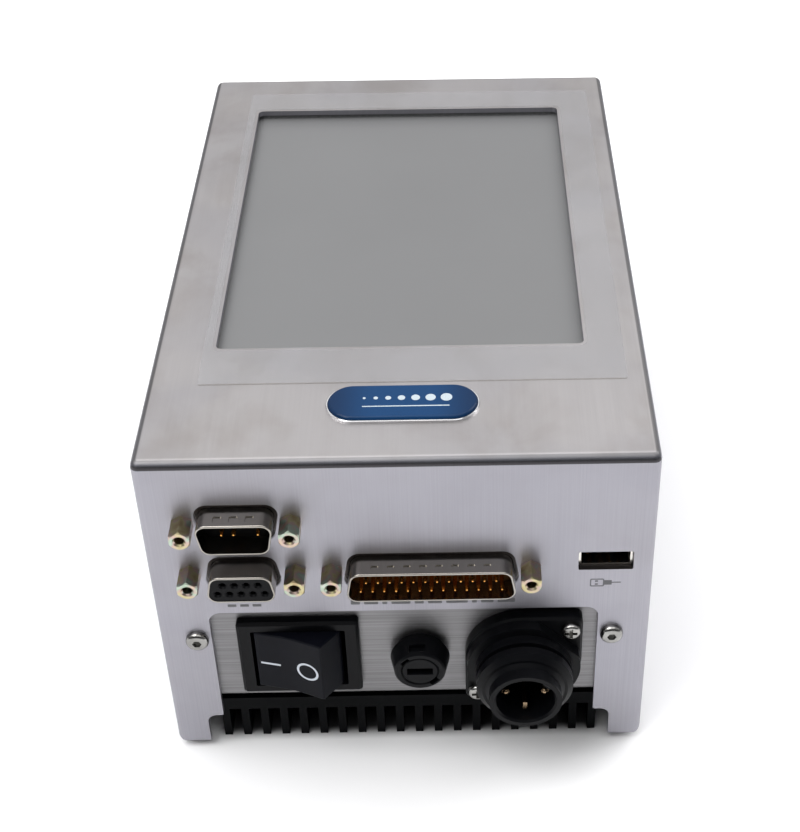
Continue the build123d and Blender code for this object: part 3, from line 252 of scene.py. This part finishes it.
def cover_steel():
    """Brushed stainless sheet, faintly stained, with painted light: the top painted lighter and warmer than
    the walls, a painted dark reflection low on the front and back bends, and painted shade on the upper part
    of every bend and on upward cut edges of the openings.
    """
    paint = Paint("cover_steel", Metallic=1.0)
    across_x = paint.noise((2600.0, 22.0, 22.0), detail=2.0)
    across_z = paint.noise((22.0, 22.0, 2600.0), detail=2.0)
    normal = paint.node("ShaderNodeSeparateXYZ", (paint.place.outputs["Normal"],)).outputs
    on_side = paint.between(paint.maths("ABSOLUTE", normal["X"]), 0.6, 0.75)
    on_top = paint.between(normal["Z"], 0.6, 0.9)
    grain = paint.node("ShaderNodeMix", data_type="FLOAT")
    paint.feed(grain.inputs[0], on_side)
    paint.feed(grain.inputs[2], across_x)
    paint.feed(grain.inputs[3], across_z)
    grain = grain.outputs[0]

    # Lit and shaded copies of one sheet: the top painted lighter and warmer, the walls painted darker and
    # cooler.
    wall = paint.shades(grain, (0.348, 0.342, 0.376), 0.05)
    top = paint.shades(grain, (0.404, 0.388, 0.390), 0.022)
    colour = paint.blend(on_top, wall, top)
    stain = paint.between(paint.noise((50.0, 36.0, 60.0), detail=4.0, distortion=0.35), 0.40, 0.74)
    stain = paint.maths("MULTIPLY", stain, paint.scaled(on_top, 0.22, 0.9))
    colour = paint.blend(stain, colour, (0.81, 0.79, 0.76), "MULTIPLY")
    cloud = paint.between(paint.noise((19.0, 24.0, 20.0), detail=3.0, distortion=0.4), 0.40, 0.62)
    cloud = paint.maths("MULTIPLY", cloud, paint.scaled(on_top, 0.30, 0.6))
    colour = paint.blend(cloud, colour, (0.88, 0.89, 0.92), "MULTIPLY")
    spots = paint.specks(34.0, 0.05)
    colour = paint.blend(paint.scaled(spots, 0.0, 0.35), colour, (0.55, 0.54, 0.52), "MULTIPLY")

    # Painted dark reflection: the lower half of the front and back bends is painted near black.
    facing = paint.between(paint.maths("ABSOLUTE", normal["Y"]), 0.35, 0.55)
    lower = paint.between(normal["Z"], 0.03, 0.10)
    upper = paint.between(normal["Z"], 0.60, 0.42)
    fold_painted_reflection = paint.maths("MULTIPLY", facing, paint.maths("MULTIPLY", lower, upper))
    colour = paint.blend(paint.scaled(fold_painted_reflection, 0.0, 0.9), colour, (0.13, 0.125, 0.12), "MULTIPLY")
    # Painted shade on the upper part of every bend, dimming its highlight.
    rising = paint.between(normal["Z"], 0.40, 0.55)
    flattening = paint.between(normal["Z"], 0.995, 0.93)
    upper_bend_painted_shade = paint.maths("MULTIPLY", rising, flattening)
    colour = paint.blend(paint.scaled(upper_bend_painted_shade, 0.0, 0.9), colour, (0.36, 0.37, 0.38), "MULTIPLY")
    # Painted shade on upward faces from 4 to 6 mm below the roof on down, such as the lower cut edges of the
    # port openings.
    height = paint.node("ShaderNodeSeparateXYZ", (paint.place.outputs["Object"],)).outputs["Z"]
    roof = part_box("outer_cover")[1].z
    below_roof = paint.between(height, roof - 4.0 * MM, roof - 6.0 * MM)
    cut_edge_painted_shade = paint.maths("MULTIPLY", on_top, below_roof)
    colour = paint.blend(cut_edge_painted_shade, colour, (0.16, 0.15, 0.145), "MULTIPLY")

    paint.bump(grain, 0.00002, 0.35)
    paint.bump(paint.noise(14.0, detail=1.0), 0.0006, 0.12)
    rough = paint.scaled(grain, 0.38, 0.50)
    rough = paint.maths("ADD", rough, paint.scaled(stain, 0.0, 0.08))
    return paint.finish(colour, rough)


def brushed_metal(name, colour, along, low=0.22, high=0.38, spread=0.06):
    """Sheet or plate with fine brushing along one axis."""
    paint = Paint(name, Metallic=1.0)
    grain = paint.noise(grain_stretch(along), detail=2.0)
    cloud = paint.noise(60.0, detail=3.0)
    shade = paint.shades(grain, colour, spread)
    cloud = paint.scaled(paint.between(cloud, 0.4, 0.7), 0.0, 0.4)
    shade = paint.blend(cloud, shade, (0.84, 0.84, 0.85), "MULTIPLY")
    paint.bump(grain, 0.00002, 0.5)
    return paint.finish(shade, paint.scaled(grain, low, high))


def plated_metal(name, stops, low, high, cells=900.0):
    """Plating whose tint drifts between a few colours, slightly pitted."""
    paint = Paint(name, Metallic=1.0)
    drift = paint.noise(cells * 0.25, detail=2.0)
    pits = paint.noise(cells * 4.0, detail=2.0)
    paint.bump(pits, 0.00001, 0.4)
    return paint.finish(paint.ramp(drift, stops), paint.scaled(pits, low, high))


def moulded(name, colour, low, high, cells=4500.0, **shader_values):
    """Injection-moulded plastic: fine spark-eroded texture, faint flow marks and rubbed patches."""
    paint = Paint(name, **shader_values)
    fine = paint.noise(cells, detail=2.0)
    flow = paint.noise(120.0, detail=4.0, distortion=0.8)
    shade = paint.blend(0.5, paint.shades(fine, colour, 0.22), paint.shades(flow, colour, 0.30))
    paint.bump(fine, 0.00001, 0.35)
    rough = paint.maths("ADD", paint.scaled(fine, low, high), paint.scaled(flow, -0.05, 0.05))
    return paint.finish(shade, rough)


def anodised():
    """Black anodised extrusion with die lines along its length and dusty patches."""
    paint = Paint("black_anodised", Specular_IOR_Level=0.05)
    lines = paint.noise((1800.0, 12.0, 1800.0), detail=3.0)
    dust = paint.between(paint.noise(110.0, detail=5.0), 0.45, 0.75)
    shade = paint.shades(lines, (0.0016, 0.0020, 0.0025), 0.35)
    shade = paint.blend(paint.scaled(dust, 0.0, 0.25), shade, (0.005, 0.005, 0.006))
    paint.bump(lines, 0.00003, 0.6)
    return paint.finish(shade, paint.scaled(lines, 0.38, 0.56))


def screen_film():
    """Satin touch film over an unlit display: even grey with specks of dust."""
    paint = Paint("screen", Specular_IOR_Level=0.35, Coat_Weight=0.10, Coat_Roughness=0.25)
    cloud = paint.noise(22.0, detail=3.0)
    fine = paint.noise(5200.0, detail=2.0)
    dull = paint.specks(62.0, 0.055)
    bright = paint.specks(118.0, 0.016)
    shade = paint.shades(cloud, (0.146, 0.147, 0.149), 0.03)
    shade = paint.blend(paint.scaled(fine, 0.0, 0.16), shade, (0.120, 0.123, 0.125))
    shade = paint.blend(paint.scaled(dull, 0.0, 0.25), shade, (0.16, 0.165, 0.165))
    shade = paint.blend(paint.scaled(bright, 0.0, 0.4), shade, (0.60, 0.61, 0.60))
    paint.bump(fine, 0.00001, 0.5)
    return paint.finish(shade, paint.scaled(cloud, 0.34, 0.44))


def clear_film():
    """Thin clear film: a slightly paler and smoother sheet over the steel, with dirt along its near edge."""
    paint = Paint("clear_film", Alpha=0.18, Specular_IOR_Level=0.3)
    ripple = paint.noise(26.0, detail=3.0)
    fine = paint.noise((900.0, 60.0, 900.0), detail=2.0)
    shade = paint.shades(ripple, (0.42, 0.42, 0.432), 0.06)
    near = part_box("overlay_film")[0].y
    y = paint.node("ShaderNodeSeparateXYZ", (paint.place.outputs["Object"],)).outputs["Y"]
    shade = paint.blend(paint.between(y, near + 0.5 * MM, near), shade, (0.16, 0.13, 0.08))
    paint.bump(ripple, 0.0001, 0.1)
    return paint.finish(shade, paint.scaled(fine, 0.26, 0.38))


def badge_rim():
    """Polished surround with hairline scratches."""
    paint = Paint("badge_rim", Metallic=1.0)
    hairs = paint.noise((300.0, 5200.0, 300.0), detail=2.0)
    paint.bump(hairs, 0.000008, 0.4)
    return paint.finish(paint.shades(hairs, (0.74, 0.74, 0.75), 0.06), paint.scaled(hairs, 0.08, 0.20))


def badge_label():
    """Dark blue print under clear resin, deeper at the ends."""
    paint = Paint("badge_label", Coat_Weight=0.16, Coat_Roughness=0.04, Specular_IOR_Level=0.06)
    low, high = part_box("badge_dome")
    middle, half = (low.x + high.x) / 2, (high.x - low.x) / 2
    x = paint.node("ShaderNodeSeparateXYZ", (paint.place.outputs["Object"],)).outputs["X"]
    away = paint.maths("ABSOLUTE", paint.maths("SUBTRACT", x, middle))
    ends = paint.between(away, half * 0.35, half)
    flake = paint.noise(7000.0, detail=1.0)
    shade = paint.shades(flake, (0.005, 0.037, 0.110), 0.10)
    shade = paint.blend(paint.scaled(ends, 0.0, 0.7), shade, (0.003, 0.012, 0.038))
    paint.bump(paint.noise(160.0, detail=2.0), 0.00003, 0.3)
    return paint.finish(shade, paint.scaled(flake, 0.28, 0.38))


def circuit_board():
    """Green solder mask with paler tracks and bare pads."""
    paint = Paint("pcb", Coat_Weight=0.4, Coat_Roughness=0.2)
    tracks = paint.node("ShaderNodeTexBrick", offset=0.5, squash=1.0)
    paint.feed(tracks.inputs["Vector"], paint.stretched((170.0, 420.0, 420.0)))
    for socket, value in (("Scale", 1.0), ("Mortar Size", 0.06), ("Mortar Smooth", 0.2)):
        paint.feed(tracks.inputs[socket], value)
    mask = paint.shades(paint.noise(300.0), (0.012, 0.085, 0.036), 0.25)
    colour = paint.blend(tracks.outputs["Fac"], mask, (0.030, 0.150, 0.070))
    pads = paint.specks(260.0, 0.14)
    colour = paint.blend(pads, colour, (0.55, 0.53, 0.45))
    paint.bump(tracks.outputs["Fac"], 0.00003, 0.6)
    return paint.finish(colour, paint.scaled(paint.noise(900.0), 0.30, 0.45))


def chip_resin():
    """Black moulding compound with a fine glassy speckle."""
    paint = Paint("chip")
    grit = paint.noise(9000.0, detail=2.0)
    paint.bump(grit, 0.00001, 0.7)
    resin = paint.shades(grit, (0.018, 0.018, 0.019), 0.3)
    shade = paint.blend(paint.specks(2600.0, 0.2), resin, (0.06, 0.06, 0.06))
    return paint.finish(shade, paint.scaled(grit, 0.42, 0.62))


def ferrite():
    """Grey ceramic core, chalky and chipped."""
    paint = Paint("ferrite", Specular_IOR_Level=0.3)
    grit = paint.noise(2400.0, detail=5.0)
    paint.bump(grit, 0.00006, 0.8)
    return paint.finish(paint.shades(grit, (0.055, 0.056, 0.060), 0.30), paint.scaled(grit, 0.55, 0.8))


def can_sleeve():
    """Shrink sleeve of a capacitor with a paler stripe down one side."""
    paint = Paint("can", Coat_Weight=0.3, Coat_Roughness=0.15)
    folds = paint.noise((500.0, 500.0, 40.0), detail=2.0)
    stripe = paint.between(paint.waves((70.0, 1.0, 1.0), "X"), 0.86, 0.9)
    shade = paint.blend(stripe, paint.shades(folds, (0.020, 0.024, 0.040), 0.2), (0.38, 0.39, 0.40))
    paint.bump(folds, 0.00004, 0.4)
    return paint.finish(shade, paint.scaled(folds, 0.25, 0.4))


def copper_winding():
    """Enamelled turns lying side by side."""
    paint = Paint("copper", Metallic=1.0, Coat_Weight=0.5, Coat_Roughness=0.1)
    turns = paint.waves((700.0, 700.0, 700.0), "DIAGONAL", 0.4)
    paint.bump(turns, 0.0003, 0.8)
    return paint.finish(paint.shades(turns, (0.62, 0.24, 0.09), 0.3), paint.scaled(turns, 0.2, 0.35))


def ribbon_jacket():
    """Grey flat cable with a ridge over every conductor."""
    paint = Paint("grey_cable", Specular_IOR_Level=0.4)
    ridges = paint.waves((787.0, 1.0, 1.0), "X")
    grime = paint.noise(180.0, detail=3.0)
    paint.bump(ridges, 0.0004, 0.8)
    return paint.finish(paint.shades(grime, (0.30, 0.31, 0.32), 0.12), paint.scaled(ridges, 0.42, 0.55))


def wire_jacket():
    """Insulated wires, blue or brown by where they lie."""
    paint = Paint("wire", Specular_IOR_Level=0.45)
    skin = paint.noise(1500.0, detail=2.0)
    band = paint.between(paint.noise((9.0, 0.5, 0.5), detail=0.0), 0.47, 0.53)
    shade = paint.blend(band, (0.12, 0.045, 0.016), (0.012, 0.055, 0.24))
    shade = paint.blend(0.25, shade, paint.shades(skin, (0.08, 0.06, 0.08), 0.5))
    paint.bump(skin, 0.00003, 0.5)
    return paint.finish(shade, paint.scaled(skin, 0.3, 0.45))


def fuse_glass():
    """Clear tube with faint drawing lines."""
    paint = Paint("glass", Transmission_Weight=1.0, IOR=1.47)
    lines = paint.noise((3000.0, 40.0, 3000.0), detail=2.0)
    paint.bump(lines, 0.00001, 0.3)
    return paint.finish(paint.shades(lines, (0.93, 0.95, 0.94), 0.02), paint.scaled(lines, 0.02, 0.07))


def foam():
    """Grey closed-cell foam."""
    paint = Paint("foam", Sheen_Weight=0.2, Sheen_Roughness=0.5)
    cells = paint.noise(2200.0, detail=4.0)
    paint.bump(cells, 0.00015, 1.0)
    return paint.finish(paint.shades(cells, (0.150, 0.155, 0.156), 0.2), paint.scaled(cells, 0.75, 0.95))


def ink(name, colour, low=0.4, high=0.55):
    """Screen-printed ink, slightly uneven."""
    paint = Paint(name)
    grit = paint.noise(6000.0, detail=3.0)
    paint.bump(grit, 0.00001, 0.6)
    return paint.finish(paint.shades(grit, colour, 0.10), paint.scaled(grit, low, high))


ZINC_YELLOW = [
    (0.30, (0.42, 0.33, 0.19)),
    (0.42, (0.53, 0.48, 0.27)),
    (0.52, (0.52, 0.38, 0.34)),
    (0.62, (0.38, 0.48, 0.38)),
    (0.74, (0.58, 0.60, 0.53)),
]
TIN = [(0.30, (0.25, 0.23, 0.20)), (0.55, (0.34, 0.32, 0.29)), (0.75, (0.39, 0.375, 0.35))]
PORT_LIP = [(0.30, (0.62, 0.60, 0.55)), (0.7, (0.74, 0.72, 0.68))]
DULL_BRASS = [(0.3, (0.20, 0.13, 0.075)), (0.7, (0.34, 0.25, 0.16))]
BRIGHT = [(0.3, (0.24, 0.235, 0.225)), (0.7, (0.38, 0.375, 0.36))]
GOLD = [(0.3, (0.62, 0.27, 0.05)), (0.7, (0.78, 0.40, 0.10))]
BRASS = [(0.3, (0.60, 0.44, 0.20)), (0.7, (0.74, 0.58, 0.30))]
NICKEL = [(0.3, (0.36, 0.35, 0.33)), (0.7, (0.46, 0.45, 0.43))]

SLOT_PAINTS = {
    "stainless": brushed_metal("inner_steel", (0.222, 0.219, 0.224), "X", 0.36, 0.50, 0.18),
    "zinc_steel": brushed_metal("zinc_steel", (0.52, 0.53, 0.54), "Y", 0.30, 0.46, 0.10),
    "fastener_steel": plated_metal("fastener_steel", BRIGHT, 0.16, 0.28),
    "zinc_yellow": plated_metal("zinc_yellow", ZINC_YELLOW, 0.24, 0.38, 1100.0),
    "black_anodised": anodised(),
    "aluminium": brushed_metal("aluminium", (0.60, 0.61, 0.62), "Y", 0.30, 0.45, 0.08),
    "foam": foam(),
    "screen": screen_film(),
    "lcd": brushed_metal("lcd_frame", (0.10, 0.10, 0.105), "Y", 0.35, 0.5, 0.15),
    "clear_film": clear_film(),
    "badge_rim": badge_rim(),
    "badge_label": badge_label(),
    "tin_shell": plated_metal("tin_shell", TIN, 0.15, 0.21, 60.0),
    "black_plastic": moulded("black_plastic", (0.0026, 0.0028, 0.0036), 0.30, 0.40, Specular_IOR_Level=0.10),
    "brown_plastic": moulded("brown_plastic", (0.042, 0.018, 0.005), 0.30, 0.40, Specular_IOR_Level=0.12),
    "rocker_plastic": moulded(
        "rocker_plastic", (0.0030, 0.0035, 0.0064), 0.34, 0.46, Specular_IOR_Level=0.07
    ),
    "white_plastic": moulded("white_plastic", (0.62, 0.61, 0.58), 0.34, 0.48),
    "gold": plated_metal("gold", GOLD, 0.16, 0.28, 2000.0),
    "brass": plated_metal("brass", BRASS, 0.22, 0.38, 1200.0),
    "nickel": plated_metal("nickel", NICKEL, 0.16, 0.30, 1200.0),
    "glass": fuse_glass(),
    "pcb": circuit_board(),
    "chip": chip_resin(),
    "ferrite": ferrite(),
    "can": can_sleeve(),
    "copper": copper_winding(),
    "cell": brushed_metal("cell", (0.62, 0.62, 0.62), "Y", 0.22, 0.34, 0.05),
    "grey_cable": ribbon_jacket(),
    "wire": wire_jacket(),
}
NODE_PAINTS = {
    "outer_cover": cover_steel(),
    "usb_shell": plated_metal("port_lip", PORT_LIP, 0.16, 0.26, 500.0),
    "power_inlet_contacts": plated_metal("inlet_contact", DULL_BRASS, 0.18, 0.30, 900.0),
    "printhead_insert": moulded("amber_plastic", (0.105, 0.048, 0.014), 0.30, 0.40, Specular_IOR_Level=0.15),
}


def paint_nodes():
    """Gives every CAD node the finished material of its slot, or one of its own."""
    for name, node in NODES.items():
        for place in node.material_slots:
            place.material = NODE_PAINTS.get(name) or SLOT_PAINTS[place.material.name]


# --- Printed marks ---------------------------------------------------------------------------


def new_piece(name, shape, material, body="controller"):
    """A finished piece from a bmesh, riding on a CAD body."""
    bmesh.ops.recalc_face_normals(shape, faces=shape.faces)
    mesh = bpy.data.meshes.new(name)
    shape.to_mesh(mesh)
    shape.free()
    mesh.materials.append(material)
    made = bpy.data.objects.new(name, mesh)
    bpy.context.scene.collection.objects.link(made)
    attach(made, body)
    return made


class Surface:
    """A flat or gently curved face of a CAD node that marks are laid on."""

    def __init__(self, node, origin, right, up):
        self.origin = Vector(origin)
        self.right = Vector(right).normalized()
        self.up = Vector(up).normalized()
        self.outward = self.right.cross(self.up)
        mesh = NODES[node].data
        corners = [vertex.co for vertex in mesh.vertices]
        self.tree = BVHTree.FromPolygons(corners, [face.vertices[:] for face in mesh.polygons])

    def point(self, across, along, height):
        """The point of the face at (across, along) from its origin, raised by height."""
        start = self.origin + self.right * across + self.up * along + self.outward * 10 * MM
        hit = self.tree.ray_cast(start, -self.outward)[0]
        return hit + self.outward * height


def add_patch(shape, surface, loops):
    """Raised ink between an outer and an inner loop of points, or inside one closed loop."""
    rows = []
    for height in (-INK_HEIGHT, INK_HEIGHT):
        rows.append([[shape.verts.new(surface.point(*at, height)) for at in loop] for loop in loops])
    count = len(loops[0])
    for index in range(count):
        after = (index + 1) % count
        for low, high in zip(*rows):
            shape.faces.new((low[index], low[after], high[after], high[index]))
        if len(loops) == 2:
            for outer, inner in rows:
                shape.faces.new((outer[index], outer[after], inner[after], inner[index]))
    if len(loops) == 1:
        for row in rows:
            shape.faces.new(row[0])


def circle(x, y, radius, steps=RING_STEPS):
    """Points of a circle."""
    turns = [2 * math.pi * step / steps for step in range(steps)]
    return [(x + radius * math.cos(turn), y + radius * math.sin(turn)) for turn in turns]


def bar(x0, x1, y0, y1, corner=0.0):
    """Points of an upright rectangle, with rounded corners if corner isn't 0."""
    if not corner:
        return [(x0, y0), (x1, y0), (x1, y1), (x0, y1)]
    points = []
    left, right = x0 + corner, x1 - corner
    bottom, top = y0 + corner, y1 - corner
    centres = [(right, top), (left, top), (left, bottom), (right, bottom)]
    for quarter, (x, y) in enumerate(centres):
        for step in range(CORNER_STEPS + 1):
            turn = math.pi / 2 * (quarter + step / CORNER_STEPS)
            points.append((x + corner * math.cos(turn), y + corner * math.sin(turn)))
    return points


def make_rocker_marks():
    """The bar for on and the ring for off, printed on the rocker's dished face."""
    joint = next(joint for joint in frame["joints"] if joint["name"] == "rocker_tilt")
    tilt = math.radians(joint["range_deg"][1] / 2)
    low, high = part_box("switch_rocker")
    pivot = Vector((joint["pos_m"][0], joint["pos_m"][1], (low.z + high.z) / 2))
    right = (math.cos(tilt), -math.sin(tilt), 0)
    outward = Vector((math.sin(tilt), math.cos(tilt), 0))
    face = Surface("switch_rocker", pivot - outward * ROCKER_REACH * MM, right, (0, 0, 1))
    level = ROCKER_MARK_Z * MM
    white = ink("rocker_ink", (0.56, 0.60, 0.66))
    shape = bmesh.new()
    start, end = ROCKER_BAR_X[0] * MM, ROCKER_BAR_X[1] * MM
    low_edge, high_edge = level - ROCKER_BAR_HALF * MM, level + ROCKER_BAR_HALF * MM
    for index in range(ROCKER_BAR_PIECES):
        x0 = start + (end - start) * index / ROCKER_BAR_PIECES
        x1 = start + (end - start) * (index + 1) / ROCKER_BAR_PIECES
        add_patch(shape, face, [bar(x0, x1, low_edge, high_edge)])
    new_piece("rocker_mark_on", shape, white, "rocker")
    shape = bmesh.new()
    rings = [circle(ROCKER_RING_X * MM, level, radius * MM) for radius in ROCKER_RING_RADII]
    add_patch(shape, face, rings)
    new_piece("rocker_mark_off", shape, white, "rocker")


def front_face():
    """The cover's front wall, with its origin under the middle of the cover."""
    low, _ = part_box("outer_cover")
    return Surface("outer_cover", (0, low.y, 0), (1, 0, 0), (0, 0, 1))


def make_encoder_mark(face, grey):
    """Three dashes under the nine-way socket."""
    shape = bmesh.new()
    low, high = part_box("encoder_shell")
    middle = (low.x + high.x) / 2
    bottom, top = DASH_Z[0] * MM, DASH_Z[1] * MM
    for step in (-1, 0, 1):
        x = middle + (step * DASH_PITCH + DASH_SHIFT) * MM
        add_patch(shape, face, [bar(x - DASH_HALF * MM, x + DASH_HALF * MM, bottom, top, 0.15 * MM)])
    new_piece("encoder_mark", shape, grey)


def make_printhead_mark(face, grey):
    """A row of short bars of uneven length under the twenty-five-way plug."""
    shape = bmesh.new()
    bottom, top = LEGEND_Z[0] * MM, LEGEND_Z[1] * MM
    x = LEGEND_START * MM
    for width in LEGEND_WIDTHS:
        add_patch(shape, face, [bar(x, x + width * MM, bottom, top, 0.25 * MM)])
        x += (width + LEGEND_GAP) * MM
    new_piece("printhead_mark", shape, grey)


def make_usb_mark(face, grey):
    """The outline of a plug, with its grip and a length of lead, under the USB port."""
    shape = bmesh.new()
    low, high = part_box("usb_shell")
    x, z = (low.x + high.x) / 2, low.z - USB_MARK_DROP * MM
    outer = bar(x - 3.6 * MM, x - 0.2 * MM, z - 1.3 * MM, z + 1.3 * MM, 0.4 * MM)
    inner = bar(x - 3.3 * MM, x - 0.5 * MM, z - 1.0 * MM, z + 1.0 * MM, 0.15 * MM)
    add_patch(shape, face, [outer, inner])
    add_patch(shape, face, [bar(x - 0.2 * MM, x + 1.6 * MM, z - 0.75 * MM, z + 0.75 * MM)])
    add_patch(shape, face, [bar(x + 1.6 * MM, x + 3.8 * MM, z - 0.15 * MM, z + 0.15 * MM)])
    for side in (-1, 1):
        level = z + side * 0.5 * MM
        add_patch(shape, face, [bar(x - 2.4 * MM, x - 1.7 * MM, level - 0.2 * MM, level + 0.2 * MM)])
    new_piece("usb_mark", shape, grey)


def make_port_marks():
    """Plain printed marks under the ports."""
    face = front_face()
    grey = ink("legend_ink", (0.105, 0.105, 0.112))
    make_encoder_mark(face, grey)
    make_printhead_mark(face, grey)
    make_usb_mark(face, grey)


def make_film():
    """The clear film round the window, as one thin flat sheet with nearly square corners."""
    low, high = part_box("overlay_film")
    outer = bar(low.x, high.x, low.y, high.y, FILM_OUTER_CORNER)
    start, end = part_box("window_gasket")
    x0, x1 = start.x + FILM_INSET, end.x - FILM_INSET
    y0, y1 = start.y + FILM_INSET, end.y - FILM_INSET
    inner = bar(x0, x1, y0, y1, FILM_INNER_CORNER)
    shape = bmesh.new()
    levels = (low.z + FILM_LIFT, low.z + FILM_LIFT + FILM_THICKNESS)
    rows = [[[shape.verts.new((x, y, z)) for x, y in loop] for loop in (outer, inner)] for z in levels]
    count = len(outer)
    for index in range(count):
        after = (index + 1) % count
        for bottom, top in zip(*rows):
            shape.faces.new((bottom[index], bottom[after], top[after], top[index]))
        for edge, hole in rows:
            shape.faces.new((edge[index], edge[after], hole[after], hole[index]))
    film = new_piece("window_film", shape, SLOT_PAINTS["clear_film"])
    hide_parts("overlay_film")


def make_badge_motif():
    """A plain motif on the badge: dots that grow along a thin line."""
    low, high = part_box("badge_dome")
    middle = (low + high) / 2
    face = Surface("badge_dome", (middle.x, middle.y, high.z), (1, 0, 0), (0, 1, 0))
    pale = ink("badge_ink", (0.40, 0.46, 0.50), 0.2, 0.3)
    shape = bmesh.new()
    for index in range(DOT_COUNT):
        radius = (DOT_RADIUS + DOT_RADIUS_GROWTH * index) * MM
        x = (DOT_START + DOT_PITCH * index + DOT_PITCH_GROWTH * index * index) * MM
        add_patch(shape, face, [circle(x, DOT_Y * MM, radius, DOT_STEPS)])
    start, end = MOTIF_LINE_X[0] * MM, MOTIF_LINE_X[1] * MM
    bottom, top = MOTIF_LINE_Y[0] * MM, MOTIF_LINE_Y[1] * MM
    add_patch(shape, face, [bar(start, end, bottom, top, 0.15 * MM)])
    new_piece("badge_motif", shape, pale)


# --- Studio ----------------------------------------------------------------------------------


def make_floor():
    """A large plain pale floor, with a painted shadow: near black where the heat sink stands, for the deep
    shade under it.
    """
    mesh = bpy.data.meshes.new("floor")
    half = FLOOR_HALF
    corners = [(-half, -half, 0), (half, -half, 0), (half, half, 0), (-half, half, 0)]
    mesh.from_pydata(corners, [], [(0, 1, 2, 3)])
    floor = bpy.data.objects.new("floor", mesh)
    bpy.context.scene.collection.objects.link(floor)
    paint = Paint("floor", Specular_IOR_Level=0.2)
    cloud = paint.noise(3.0, detail=2.0)
    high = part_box("heat_sink")[1]
    where = paint.node("ShaderNodeSeparateXYZ", (paint.place.outputs["Object"],)).outputs
    # Painted shadow: a near-black patch inside the heat sink's footprint, soft at its edges.
    under = 1.0
    for axis, edge in (("X", high.x), ("Y", high.y)):
        away = paint.maths("ABSOLUTE", where[axis])
        inside = paint.between(away, edge + SHADE_EDGE, edge - SHADE_EDGE)
        under = paint.maths("MULTIPLY", inside, under)
    shade = paint.blend(under, paint.shades(cloud, (0.90, 0.90, 0.905), 0.008), (0.030, 0.030, 0.032))
    mesh.materials.append(paint.finish(shade, paint.scaled(cloud, 0.75, 0.85)))


def area_light(name, place, size, power):
    """A square soft light aimed at the object's middle."""
    light = bpy.data.lights.new(name, "AREA")
    light.shape = "SQUARE"
    light.size = size
    light.energy = power
    lamp = bpy.data.objects.new(name, light)
    lamp.location = place
    centre = (CAD_BOX[0] + CAD_BOX[1]) / 2
    lamp.rotation_euler = (centre - Vector(place)).to_track_quat("-Z", "Y").to_euler()
    bpy.context.scene.collection.objects.link(lamp)


def make_world():
    """Soft light, brightest overhead, dimmer near the horizon and on the side the connectors face."""
    world = bpy.data.worlds.new("studio")
    world.use_nodes = True
    nodes, links = world.node_tree.nodes, world.node_tree.links
    where = nodes.new("ShaderNodeTexCoord")
    parts = nodes.new("ShaderNodeSeparateXYZ")
    ramp = nodes.new("ShaderNodeValToRGB")
    links.new(where.outputs["Generated"], parts.inputs[0])
    links.new(parts.outputs["Z"], ramp.inputs["Fac"])
    elements = ramp.color_ramp.elements
    while len(elements) < len(SKY_LEVELS):
        elements.new(0.5)
    for element, (position, level) in zip(elements, SKY_LEVELS):
        element.position = position
        element.color = (level, level, level * 1.01, 1.0)
    background = nodes["Background"]
    links.new(ramp.outputs["Color"], background.inputs["Color"])
    side = nodes.new("ShaderNodeMapRange")
    (from_low, from_high), (to_low, to_high) = SKY_DIM_TO_BRIGHT
    for socket, value in zip(list(side.inputs)[1:], (from_low, from_high, to_low, to_high)):
        socket.default_value = value
    links.new(parts.outputs["Y"], side.inputs["Value"])
    links.new(side.outputs["Result"], background.inputs["Strength"])
    bpy.context.scene.world = world


def make_camera():
    """The camera, where the photographer stood."""
    data = bpy.data.cameras.new("camera")
    data.lens = CAMERA_LENS
    data.sensor_width = 36.0
    data.shift_x, data.shift_y = CAMERA_SHIFT
    data.clip_start, data.clip_end = 0.01, 50.0
    camera = bpy.data.objects.new("camera", data)
    camera.location = CAMERA_AT
    camera.rotation_euler = Euler([math.radians(turn) for turn in CAMERA_TURN])
    bpy.context.scene.collection.objects.link(camera)
    bpy.context.scene.camera = camera


paint_nodes()
make_rocker_marks()
make_port_marks()
make_film()
make_badge_motif()
make_floor()
make_world()
area_light("key", (-0.45, -0.30, 0.95), 0.7, 6.0)
area_light("fill", (0.75, 0.35, 0.80), 0.6, 4.0)
area_light("overhead", (0.0, -0.25, 1.25), 1.5, 10.0)
make_camera()
bpy.context.scene.view_settings.view_transform = "Standard"
